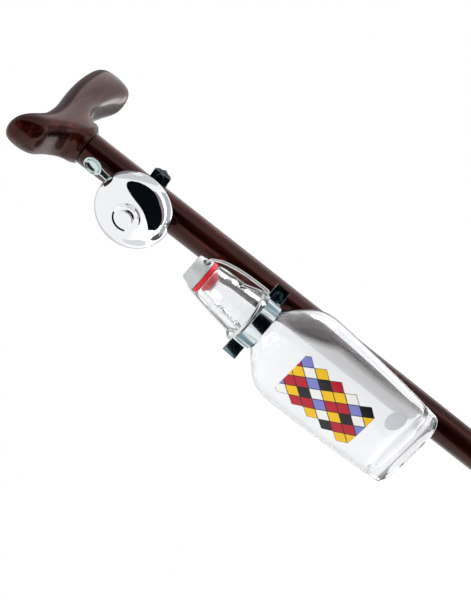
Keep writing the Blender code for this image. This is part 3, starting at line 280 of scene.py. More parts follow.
def stacked(rows: list[tuple[Array, float]]) -> list[Array]:
    """A solid through closed outlines in XY, each at its height, with flat ends."""
    return lidded(np.stack([np.column_stack([plan, np.full(len(plan), z)]) for plan, z in rows]))


def block(low: tuple, high: tuple, edge: float) -> list[Array]:
    """A box between two corners with its upright edges rounded, as a prism on a rounded square."""
    (x0, y0, z0), (x1, y1, z1) = low, high
    corners = np.array([(x0, y0), (x1, y0), (x1, y1), (x0, y1)])
    return prism(rounded(corners, edge, 4, closed=True), z0, z1, min(edge, 0.3 * MM))


def make_mesh(name: str, grids: list[Array]) -> bpy.types.Mesh:
    """A welded mesh from grids of points.

    A grid of several rows gives a quad for each cell, and a grid of one row a single face. Points
    that meet are welded, so a repeated first column closes a seam and a row of equal points a pole.

    Args:
        name: the mesh's name.
        grids: arrays of shape (rows, columns, 3).

    Returns:
        The mesh, its faces turned outwards.
    """
    points, faces, start = [], [], 0
    for grid in grids:
        rows, columns = grid.shape[:2]
        index = start + np.arange(rows * columns).reshape(rows, columns)
        if rows == 1:
            faces.append(index[0, :-1].tolist())
        else:
            cells = [index[:-1, :-1], index[:-1, 1:], index[1:, 1:], index[1:, :-1]]
            faces.extend(np.stack(cells, axis=-1).reshape(-1, 4).tolist())
        points.append(grid.reshape(-1, 3))
        start += rows * columns
    mesh = bpy.data.meshes.new(name)
    mesh.from_pydata(np.vstack(points), [], faces)
    work = bmesh.new()
    work.from_mesh(mesh)
    bmesh.ops.remove_doubles(work, verts=work.verts, dist=WELD)
    bmesh.ops.dissolve_degenerate(work, edges=work.edges, dist=WELD)
    bmesh.ops.recalc_face_normals(work, faces=work.faces)
    work.to_mesh(mesh)
    work.free()
    return mesh


def linked(name: str, data: bpy.types.ID) -> bpy.types.Object:
    """A new object at the origin with its data, linked to the scene."""
    made = bpy.data.objects.new(name, data)
    bpy.context.scene.collection.objects.link(made)
    return made


def adopt(
    name: str, mesh: bpy.types.Mesh, finish: "Finish", body: Body, stands_for: str | None
) -> bpy.types.Object:
    """An object at the origin for a mesh, in its finish, riding on its body and standing for its node."""
    made = linked(name, mesh)
    mesh.materials.append(finish.material())
    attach(made, body.value)
    if stands_for:
        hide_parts(stands_for)
    LOG.info("%s: %d faces on %s", name, len(mesh.polygons), body.value)
    return made


def make_piece(
    name: str, grids: list[Array], place: Array, finish: "Finish", body: Body, stands_for: str | None = None,
    sharp: float = SHARP,
) -> bpy.types.Object:
    """A finished piece that rides on its body and stands for its CAD node.

    Args:
        name: the piece's name.
        grids: its surface, in the frame of what carries it.
        place: that frame, as a 4x4 matrix.
        finish: its finish.
        body: the body it rides on.
        stands_for: the CAD node it replaces, where it replaces one.
        sharp: the angle between faces, in degrees, past which an edge stays sharp.

    Returns:
        The object, which sits at the origin.
    """
    mesh = make_mesh(name, [placed(grid, place) for grid in grids])
    mesh.shade_smooth()
    mesh.set_sharp_from_angle(angle=np.radians(sharp))
    return adopt(name, mesh, finish, body, stands_for)


def carve(
    target: bpy.types.Object, grids: list[Array], place: Array, operation: str = "DIFFERENCE"
) -> None:
    """Cuts a closed surface out of a piece, or joins it on, with an exact Boolean kept as its mesh."""
    mesh = make_mesh(f"{target.name}_cutter", [placed(grid, place) for grid in grids])
    cutter = linked(mesh.name, mesh)
    step = target.modifiers.new("carve", "BOOLEAN")
    step.object, step.operation, step.solver = cutter, operation, "EXACT"
    keep_result(target, step)
    target.data.set_sharp_from_angle(angle=np.radians(SHARP))
    bpy.data.objects.remove(cutter)


def keep_result(target: bpy.types.Object, step: bpy.types.Modifier) -> None:
    """Takes a modifier's result as the piece's own mesh and removes the modifier."""
    bpy.context.view_layer.update()
    shown = target.evaluated_get(bpy.context.evaluated_depsgraph_get())
    result = bpy.data.meshes.new_from_object(shown)
    target.modifiers.remove(step)
    target.data = result


# ---------------------------------------------------------------- finishes

def linear(code: str) -> tuple[float, float, float, float]:
    """An sRGB hex colour as linear RGBA: below 0.04045 a twelfth part, above it the 2.4 power curve."""
    value = np.array([int(code[i:i + 2], 16) for i in (1, 3, 5)]) / 255
    made = np.where(value <= 0.04045, value / 12.92, ((value + 0.055) / 1.055) ** 2.4)
    return (*made.tolist(), 1.0)


def add_node(
    tree: bpy.types.NodeTree, kind: str, sockets: dict | None = None, **settings: object
) -> bpy.types.Node:
    """Adds a node.

    Args:
        tree: the node tree.
        kind: the node's type name without its "ShaderNode" start.
        sockets: values for inputs, by name or place; an output socket is linked, anything else set.
        settings: the node's own settings.

    Returns:
        The node.
    """
    made = tree.nodes.new(f"ShaderNode{kind}")
    for name, value in settings.items():
        setattr(made, name, value)
    for name, value in (sockets or {}).items():
        if isinstance(value, bpy.types.NodeSocket):
            tree.links.new(value, made.inputs[name])
        else:
            made.inputs[name].default_value = value
    return made


def ramp(
    tree: bpy.types.NodeTree, factor: bpy.types.NodeSocket, stops: list[tuple]
) -> bpy.types.NodeSocket:
    """A colour ramp's output for a factor.

    Args:
        tree: the node tree.
        factor: what the ramp reads.
        stops: (place, colour) pairs; a colour is a hex string or a grey level.

    Returns:
        The ramp's colour output.
    """
    made = add_node(tree, "ValToRGB", {"Fac": factor})
    points = made.color_ramp.elements
    while len(points) < len(stops):
        points.new(0.5)
    for point, (place, colour) in zip(points, stops):
        point.position = place
        point.color = linear(colour) if isinstance(colour, str) else (colour, colour, colour, 1.0)
    return made.outputs["Color"]


def noise(
    tree: bpy.types.NodeTree, scale: float, detail: float, distortion: float = 0.0,
    stretch: tuple = (1.0, 1.0, 1.0), tilt: tuple = (0.0, 0.0, 0.0),
) -> bpy.types.NodeSocket:
    """A fractal noise's factor in object coordinates.

    Args:
        tree: the node tree.
        scale: features a metre.
        detail: how many finer layers it has.
        distortion: how much its features are bent.
        stretch: what each tilted axis is multiplied by; less than 1 draws the features out along it.
        tilt: angles in degrees that the coordinates are turned by first.

    Returns:
        The factor's socket.
    """
    where = add_node(tree, "TexCoord").outputs["Object"]
    tilted = add_node(tree, "Mapping", {"Vector": where, "Rotation": tuple(np.radians(tilt))}).outputs[0]
    where = add_node(tree, "Mapping", {"Vector": tilted, "Scale": stretch}).outputs[0]
    sockets = {"Vector": where, "Scale": scale, "Detail": detail, "Distortion": distortion}
    return add_node(tree, "TexNoise", sockets).outputs["Fac"]


def spread(
    tree: bpy.types.NodeTree, value: bpy.types.NodeSocket, low: float, high: float,
    first: float, last: float,
) -> bpy.types.NodeSocket:
    """A value between low and high spread out between first and last."""
    return add_node(tree, "MapRange", {"Value": value, 1: low, 2: high, 3: first, 4: last}).outputs[0]


def bumped(
    tree: bpy.types.NodeTree, height: bpy.types.NodeSocket, distance: float, strength: float
) -> bpy.types.NodeSocket:
    """A normal tilted by a height: distance is the height's full span in metres."""
    sockets = {"Height": height, "Distance": distance, "Strength": strength}
    return add_node(tree, "Bump", sockets).outputs["Normal"]


@dataclass(frozen=True)
class Finish:
    """A finish: its name in Blender and the record's slot that it belongs to."""

    name: str
    slot: str

    def material(self) -> bpy.types.Material:
        """The finish's material, made the first time that it is asked for."""
        made = bpy.data.materials.get(self.name)
        if made is None:
            made = bpy.data.materials.new(self.name)
            made.use_nodes = True
            self.paint(made.node_tree, made.node_tree.nodes["Principled BSDF"])
        return made

    def paint(self, tree: bpy.types.NodeTree, shader: bpy.types.Node) -> None:
        """Sets the shader's sockets; each finish has its own."""
        raise NotImplementedError

    @staticmethod
    def give(shader: bpy.types.Node, **sockets: object) -> None:
        """Sets or links sockets of a shader, their names written with _ for a space."""
        for name, value in sockets.items():
            socket = shader.inputs[name.replace("_", " ")]
            if isinstance(value, bpy.types.NodeSocket):
                shader.id_data.links.new(value, socket)
            else:
                socket.default_value = value


@dataclass(frozen=True)
class LacqueredWood(Finish):
    """Hardwood turned or carved, stained red-brown, sealed with clear lacquer and rubbed out.

    The stain lies darker in the pores, which show as fine dashes along the grain about 0.4 mm
    wide and 12 mm long, over slow bands a few millimetres wide. The lacquer gives a sharp gloss
    over a soft amber one, with a slight orange peel.
    """

    tilt: tuple[float, float, float] = (0.0, 0.0, 0.0)
    dark: str = "#100201"
    middle: str = "#240705"
    light: str = "#49160e"
    amber: str = "#d27f6e"

    def paint(self, tree: bpy.types.NodeTree, shader: bpy.types.Node) -> None:
        """Bands and pores in the colour, pores in the soft amber gloss, and a thin clear coat."""
        bands = noise(tree, 260.0, 4.0, 0.6, (1.0, 1.0, 0.06), self.tilt)
        pores = noise(tree, 2200.0, 2.0, 0.0, (1.0, 1.0, 0.035), self.tilt)
        colour = ramp(tree, bands, [(0.30, self.dark), (0.52, self.middle), (0.74, self.light)])
        depth = ramp(tree, pores, [(0.36, 0.0), (0.46, 1.0)])
        blend = add_node(tree, "Mix", {0: depth, 6: linear(self.dark), 7: colour}, data_type="RGBA")
        peel = noise(tree, 420.0, 1.0)
        self.give(
            shader, Base_Color=blend.outputs[2], Roughness=0.25, IOR=1.5, Specular_IOR_Level=0.5,
            Specular_Tint=linear(self.amber), Normal=bumped(tree, depth, 0.04 * MM, 0.3), Coat_Weight=0.5,
            Coat_Roughness=0.06, Coat_IOR=1.36, Coat_Normal=bumped(tree, peel, 0.06 * MM, 0.25),
        )


@dataclass(frozen=True)
class MirrorChrome(Finish):
    """Steel pressed or cast, polished, and plated with nickel and bright chromium.

    The eye sees a cold mirror, with faint wiping marks that only show as slightly softer patches in
    the reflections.
    """

    tint: str = "#f0f1f3"
    sharpest: float = 0.02
    softest: float = 0.06

    def paint(self, tree: bpy.types.NodeTree, shader: bpy.types.Node) -> None:
        """A metal whose roughness wanders a little."""
        wipes = noise(tree, 180.0, 3.0, stretch=(1.0, 0.3, 1.0))
        rough = spread(tree, wipes, 0.35, 0.75, self.sharpest, self.softest)
        self.give(shader, Base_Color=linear(self.tint), Metallic=1.0, Roughness=rough)


@dataclass(frozen=True)
class PaintedReflectionChrome(MirrorChrome):
    """Strip steel rolled flat, bent and plated.

    Its colour is painted reflection: pale painted highlight bands and slate-blue painted dark bands, a
    millimetre or two wide across its width, standing in for the studio seen in the mirror.
    """

    painted_dark_band: str = "#748d96"
    painted_highlight_band: str = "#e6eef0"

    def paint(self, tree: bpy.types.NodeTree, shader: bpy.types.Node) -> None:
        """The mirror's roughness under painted reflection bands that run across the strip."""
        super().paint(tree, shader)
        painted_bands = noise(tree, 190.0, 3.0, 0.6, (1.0, 1.0, 0.12))
        colour = ramp(tree, painted_bands, [(0.40, self.painted_dark_band), (0.52, self.tint), (0.62, self.painted_highlight_band)])
        self.give(shader, Base_Color=colour)


@dataclass(frozen=True)
class ZincSteel(Finish):
    """Steel turned or pressed, then zinc plated; where its tint is dark, the dark colour is a painted
    reflection of dark surroundings in the plated metal.

    The plating is a satin grey with a faint mottle a few tenths of a millimetre wide.
    """

    tint: str = "#c3c6c8"
    shade: str = "#a9adb0"

    def paint(self, tree: bpy.types.NodeTree, shader: bpy.types.Node) -> None:
        """A satin metal with a mottled colour and roughness."""
        mottle = noise(tree, 900.0, 3.0)
        colour = ramp(tree, mottle, [(0.35, self.shade), (0.65, self.tint)])
        rough = spread(tree, mottle, 0.3, 0.7, 0.2, 0.36)
        self.give(shader, Base_Color=colour, Metallic=1.0, Roughness=rough)


@dataclass(frozen=True)
class BrightWire(Finish):
    """Spring steel wire, drawn through a die and nickel plated.

    Drawing leaves it bright, with a fine unevenness that softens its highlights.
    """

    tint: str = "#dfe0e0"

    def paint(self, tree: bpy.types.NodeTree, shader: bpy.types.Node) -> None:
        """A bright metal with a slightly uneven roughness."""
        rough = spread(tree, noise(tree, 1400.0, 2.0), 0.3, 0.7, 0.07, 0.16)
        self.give(shader, Base_Color=linear(self.tint), Metallic=1.0, Roughness=rough)


@dataclass(frozen=True)
class MouldedGlass(Finish):
    """Soda-lime glass blown into a mould, clear, with a painted haze on the front of its body.

    The painted haze is a white diffuse layer that stands in for the light reflected off the glass. The eye
    sees thin grey lines where the walls turn away, and the stick behind the body only as a pale grey stripe,
    because the lit painted haze lies in front of it.
    """

    tint: str = "#f7f8fa"
    painted_haze: float = 0.72

    def paint(self, tree: bpy.types.NodeTree, shader: bpy.types.Node) -> None:
        """Clear glass of index 1.52, a little less clear where the flask's film attribute is 1, which paints
        a white haze of reflected light.
        """
        # film marks the painted haze: white diffuse in place of clear glass, standing in for reflected light
        film = add_node(tree, "Attribute", attribute_name="film").outputs["Fac"]
        clear = spread(tree, film, 0.0, 1.0, 1.0, 1.0 - self.painted_haze)
        glass = linear(self.tint)
        self.give(shader, Base_Color=glass, Roughness=0.0, IOR=1.52, Transmission_Weight=clear)


@dataclass(frozen=True)
class SatinPlastic(Finish):
    """Light grey plastic with a fine satin skin, as moulded for the stopper's head."""

    colour: str = "#bfc2c2"
    shade: str = "#b2b5b5"

    def paint(self, tree: bpy.types.NodeTree, shader: bpy.types.Node) -> None:
        """A pale grey with a fine grain in its skin."""
        grain = noise(tree, 1500.0, 2.0)
        colour = ramp(tree, grain, [(0.3, self.shade), (0.7, self.colour)])
        normal = bumped(tree, grain, 0.02 * MM, 0.4)
        self.give(shader, Base_Color=colour, Roughness=0.34, IOR=1.49, Normal=normal)


@dataclass(frozen=True)
class MouldedRubber(Finish):
    """Natural rubber pressed in a mould: matt, with a fine dusty grain and a soft sheen."""

    colour: str = "#de1226"
    shade: str = "#cc0c1f"
    rough: float = 0.48
    grain_scale: float = 1100.0

    def paint(self, tree: bpy.types.NodeTree, shader: bpy.types.Node) -> None:
        """Two close colours and a bumpy grain."""
        grain = noise(tree, self.grain_scale, 3.0)
        colour = ramp(tree, grain, [(0.3, self.shade), (0.7, self.colour)])
        normal = bumped(tree, grain, 0.05 * MM, 0.5)
        self.give(
            shader, Base_Color=colour, Roughness=self.rough, IOR=1.52, Sheen_Weight=0.15, Normal=normal
        )


WOOD = LacqueredWood("lacquered_hardwood", "lacquered_wood")
HANDLE_WOOD = LacqueredWood("lacquered_handle", "lacquered_wood", tilt=(90.0, HANDLE_TURN, 0.0))
CHROME = MirrorChrome("mirror_chrome", "chrome")
# the strip and the back plate carry painted reflections: a teal tint and pale and slate-blue bands
STRIP_CHROME = PaintedReflectionChrome("rolled_strip_chrome", "chrome", "#c3d0d4", 0.1, 0.17)
# the lever's pale teal tint is a painted reflection colour of the studio, not the chrome's own
LEVER_CHROME = MirrorChrome("pressed_lever_chrome", "chrome", "#d0e0df", 0.2, 0.28)
ZINC = ZincSteel("zinc_plated_steel", "zinc_steel")
# the clamp band and the bell's base are chrome; their dark blue-grey tint is a painted reflection of dark
# surroundings
CHROME_PAINTED_DARK = ZincSteel("chrome_band_painted_dark", "chrome", "#4a6068", "#2b3a41")
# the screws and nuts are zinc steel painted dark: a painted reflection of dark surroundings
SCREW_PAINTED_DARK = ZincSteel("screw_steel_painted_dark", "zinc_steel", "#2f3e45", "#1c262b")
WIRE = BrightWire("bright_drawn_wire", "steel_wire")
GLASS = MouldedGlass("moulded_glass", "clear_glass")
STOPPER = SatinPlastic("satin_grey_plastic", "stopper_ceramic")
FROST = SatinPlastic("frosted_spot", "clear_glass", "#d6dade", "#cfd3d8")
RED_RUBBER = MouldedRubber("red_moulded_rubber", "red_rubber")
BLACK_RUBBER = MouldedRubber("black_moulded_rubber", "black_rubber", "#1d1d1e", "#151516", 0.72, 700.0)


# ---------------------------------------------------------------- the stick

@dataclass
class Stick:
    """The wooden stick: its saddle handle, its tapered shaft and its rubber foot."""

    foot_radius: float = 9.5 * MM
    taper_top: float = 450.0 * MM
    joint_height: float = 880.0 * MM
    tenon_radius: float = 7.0 * MM
    tenon_length: float = 24.0 * MM
    shaft_bottom: float = 10.1 * MM
    handle_turn: float = HANDLE_TURN
    nose: float = 41.0 * MM
    tail: float = 92.8 * MM
    width: float = 27.0 * MM
    fullness: float = 1.095
    upper: float = 0.788
    lower: float = 0.9045
    rear_flare: float = 8.2 * MM
    front_flare: float = 0.5 * MM
    side_flare: float = 1.9 * MM
    skirt_radius: float = 12.8 * MM
    ferrule_height: float = 40.0 * MM
    ferrule_neck: float = 12.8 * MM
    ferrule_foot: float = 17.5 * MM
    ferrule_floor: float = 8.0 * MM

    def build(self) -> None:
        """Builds the handle, the shaft and the ferrule."""
        self.build_handle()
        shaft, foot = [turned(self.shaft_profile())], [turned(self.ferrule_profile())]
        make_piece("turned_shaft", shaft, np.eye(4), WOOD, Body.STICK, "shaft")
        make_piece("moulded_ferrule", foot, np.eye(4), BLACK_RUBBER, Body.STICK, "rubber_ferrule")

    def shaft_profile(self) -> Array:
        """Radius and height from the tenon's top down to the foot, its edges rounded."""
        shoulder = self.joint_height - GAP
        top = shoulder + self.tenon_length
        corners = [
            (0, top), (self.tenon_radius, top), (self.tenon_radius, shoulder), (SHAFT_RADIUS, shoulder),
            (SHAFT_RADIUS, self.taper_top), (self.foot_radius, self.shaft_bottom), (0, self.shaft_bottom),
        ]
        return rounded(np.array(corners), [0, 0.8 * MM, 0.1 * MM, 0.8 * MM, 30 * MM, 0.8 * MM, 0], 6)

    def ferrule_profile(self) -> Array:
        """Radius and height of the foot: a socket, a beaded mouth, a flare and three tread grooves."""
        neck, foot, floor = self.ferrule_neck, self.ferrule_foot, self.ferrule_floor
        bore = self.foot_radius + GAP
        bead = 0.5 * MM
        corners = [
            (0, floor), (bore, floor), (bore, self.ferrule_height), (neck, self.ferrule_height),
            (neck, self.ferrule_height - 4 * MM), (neck - bead, self.ferrule_height - 4.6 * MM),
            (neck - bead, 20 * MM), (neck + 0.6 * MM, 15 * MM), (foot - 0.3 * MM, 8.5 * MM),
            (foot, 7 * MM), (foot, 4.6 * MM), (foot - bead, 4.2 * MM), (foot, 3.8 * MM), (foot, 0),
        ]
        radii = [0, 0.4, 0.4, 0.7, 0.3, 0.5, 3.0, 3.5, 1.2, 1.0, 0.2, 0.2, 0.2, 1.2]
        deep = 1.3 * MM
        for edge in (14.6 * MM, 10.2 * MM, 5.8 * MM):
            corners += [(edge, 0), (edge - 0.4 * MM, deep), (edge - 1.4 * MM, deep), (edge - 1.8 * MM, 0)]
            radii += [0.25] * 4
        corners.append((0, 0))
        return rounded(np.array(corners), np.array(radii + [0]) * MM, 4)

    def stations(self) -> Array:
        """Sections of the handle's cage from nose to tail.

        A row has its place, the heights of its bottom and top, its share of the width and its lean.
        """
        rows = [
            (-38.0, 21.6, 39.3, 0.476, -3.5), (-32.0, 18.4, 42.1, 0.932, -3.5),
            (-21.5, 15.3, 36.2, 0.935, -1.75), (-12.8, 8.6, 32.3, 0.930, 0.0),
            (-0.1, 7.1, 31.9, 0.910, 0.0), (13.1, 8.3, 32.2, 0.896, 0.0),
            (30.2, 15.0, 35.4, 0.912, 0.0), (53.0, 12.6, 38.1, 1.011, 0.9),
            (71.0, 9.7, 38.1, 1.062, 1.75), (84.0, 6.0, 37.3, 0.958, 3.5),
            (90.5, 10.3, 29.8, 0.445, 3.5),
        ]
        return np.array(rows) * np.array([MM, MM, MM, 1.0, MM])

    def build_handle(self) -> None:
        """The carved handle: a cage of eight-sided rings and a skirt drawn down from it, subdivided.

        A ring's point at angle a is (half width * share * k cos a, place + lean sin a,
        middle + half height * k sin a), with its own k on the upper and the lower diagonals, so
        that the subdivided form is fuller than an ellipse. Four cells under the middle give way to
        the skirt, whose rings are circles, the top one flared towards the nose and the tail.
        """
        place, low, high, share, lean = (column[:, None] for column in self.stations().T)
        angle = np.pi / 2 - np.arange(8) * np.pi / 4
        corner = np.array([1, self.upper, 1, self.lower, 1, self.lower, 1, self.upper])
        reach = np.where(np.arange(8) % 2, corner / np.cos(np.pi / 4), 1.0) * self.fullness
        x = self.width / 2 * share * reach * np.cos(angle)
        y = place + lean * np.sin(angle)
        z = (low + high) / 2 + (high - low) / 2 * reach * np.sin(angle)
        rings = np.stack([x, y, z], axis=-1)
        count = rings.shape[0] * 8
        index = np.arange(count).reshape(-1, 8)
        cells = self.cells(index)
        kept = np.ones(cells.shape[:2], bool)
        kept[3:5, 3:5] = False
        faces = cells[kept].tolist()
        tips = np.array([(0, -self.nose, rings[0, :, 2].mean()), (0, self.tail, rings[-1, :, 2].mean())])
        for tip, row in ((count, 0), (count + 1, -1)):
            ring = index[row]
            faces += [[tip, ring[k], ring[k + 1], ring[(k + 2) % 8]] for k in range(0, 8, 2)]
        loop = index[[3, 3, 3, 4, 5, 5, 5, 4], [3, 4, 5, 5, 5, 4, 3, 3]]
        angle = np.array([-1, -2, -3, 4, 3, 2, 1, 0]) * np.pi / 4
        skirt, bore = self.skirt_radius * self.fullness, (self.tenon_radius + GAP) * self.fullness
        rows = [
            (3.8 * MM, skirt + self.side_flare, 1), (0.7 * MM, skirt, 0), (0, skirt, 0),
            (0, skirt - 0.9 * MM, 0), (0, bore, 0), (0.7 * MM, bore, 0),
            (self.tenon_length - MM, bore, 0), (self.tenon_length + 0.5 * MM, bore, 0),
        ]
        height, radius, flared = (column[:, None] for column in np.array(rows).T)
        flare = np.sin(angle) * np.where(np.sin(angle) > 0, self.rear_flare, self.front_flare)
        x, y = radius * np.cos(angle), radius * np.sin(angle) + flared * flare
        lower = np.stack([x, y, height + 0 * angle], axis=-1)
        below = count + 2 + np.arange(len(rows) * 8).reshape(-1, 8)
        faces += self.cells(np.vstack([loop, below])).reshape(-1, 4).tolist() + [below[-1].tolist()]
        points = np.vstack([rings.reshape(-1, 3), tips, lower.reshape(-1, 3)])
        self.finish_handle(points, faces)

    @staticmethod
    def cells(index: Array) -> Array:
        """The four-sided cells between closed rings of point numbers, one ring a row."""
        following = np.roll(index, -1, axis=1)
        return np.stack([index[:-1], following[:-1], following[1:], index[1:]], axis=-1)

    def finish_handle(self, points: Array, faces: list[list[int]]) -> None:
        """Makes the handle's cage a subdivided piece in its place."""
        where = shift(z=self.joint_height) @ turn("z", self.handle_turn)
        mesh = bpy.data.meshes.new("carved_handle")
        used = np.unique(np.concatenate(faces))
        renumber = np.full(len(points), -1)
        renumber[used] = np.arange(len(used))
        faces = [renumber[np.array(face)].tolist() for face in faces]
        mesh.from_pydata(placed(points[used], where), [], faces)
        work = bmesh.new()
        work.from_mesh(mesh)
        bmesh.ops.recalc_face_normals(work, faces=work.faces)
        work.to_mesh(mesh)
        work.free()
        mesh.shade_smooth()
        made = adopt(mesh.name, mesh, HANDLE_WOOD, Body.STICK, "handle")
        step = made.modifiers.new("round_off", "SUBSURF")
        step.levels = step.render_levels = 4
        keep_result(made, step)


# ---------------------------------------------------------------- fasteners and carried-over nodes

SHANK_RADIUS = 1.5 * MM
HEAD_RADIUS = 3.0 * MM
HEAD_HEIGHT = 2.2 * MM
HOLE_RADIUS = 1.8 * MM


def drill(radius: float, low: float, high: float) -> Array:
    """A closed cylinder about Z for boring a hole."""
    return turned(np.array([(0, low), (radius, low), (radius, high), (0, high)]), 32)


def pan_head(face: float, end: float) -> Array:
    """Profile of a pan screw: a rounded head above the height face, a chamfered shank down to end."""
    top = face + HEAD_HEIGHT
    head, shank = HEAD_RADIUS, SHANK_RADIUS
    corners = [(0, top), (head, top), (head, face), (shank, face), (shank, end), (0, end)]
    return rounded(np.array(corners), [0, 1.1 * MM, 0.15 * MM, 0.1 * MM, 0.4 * MM, 0], 6)


def slotted_screw(name: str, profile: Array, place: Array, top: float, head: float) -> None:
    """A turned screw on the stick, its dark colour a painted reflection, with a slot sawn across its head.

    Args:
        name: the CAD node it stands for.
        profile: its profile.
        place: its frame.
        top: the height of the head's top.
        head: the head's radius.
    """
    made = make_piece(f"slotted_{name}", [turned(profile, 64)], place, SCREW_PAINTED_DARK, Body.STICK, name)
    depth, half = 1.0 * MM, 0.42 * MM
    saw = np.array([(-1, -half), (1, -half), (1, half), (-1, half), (-1, -half)]) * (2 * head, 1)
    carve(made, stacked([(saw, top - depth), (saw, top + depth)]), place)


def hexagon_nut(name: str, low: float, high: float, place: Array) -> None:
    """A hexagon nut on the stick, its dark colour a painted reflection, 5.5 mm across its flats, with its
    corners turned off.

    The body is the hexagon's outline times 0.9 at both ends, and the bore is a plain cylinder.
    """
    outline = arc(2.75 * MM / np.cos(np.pi / 6), 0, 360, 6)
    chamfer = 0.35 * MM
    ends, middle = outline * 0.9, outline
    grids = stacked([(ends, low), (middle, low + chamfer), (middle, high - chamfer), (ends, high)])
    made = make_piece(f"hexagon_{name}", grids, place, SCREW_PAINTED_DARK, Body.STICK, name)
    carve(made, [drill(1.75 * MM, low - MM, high + MM)], place)


def welded_copy(node: str, finish: Finish, body: Body) -> None:
    """A copy of a CAD node, welded and shaded smooth, that stands for it."""
    work = bmesh.new()
    work.from_mesh(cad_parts[node].data)
    bmesh.ops.remove_doubles(work, verts=work.verts, dist=CAD_WELD)
    mesh = bpy.data.meshes.new(f"plated_{node}")
    work.to_mesh(mesh)
    work.free()
    mesh.shade_smooth()
    mesh.set_sharp_from_angle(angle=np.radians(28))
    adopt(mesh.name, mesh, finish, body, node)


# ---------------------------------------------------------------- the bell

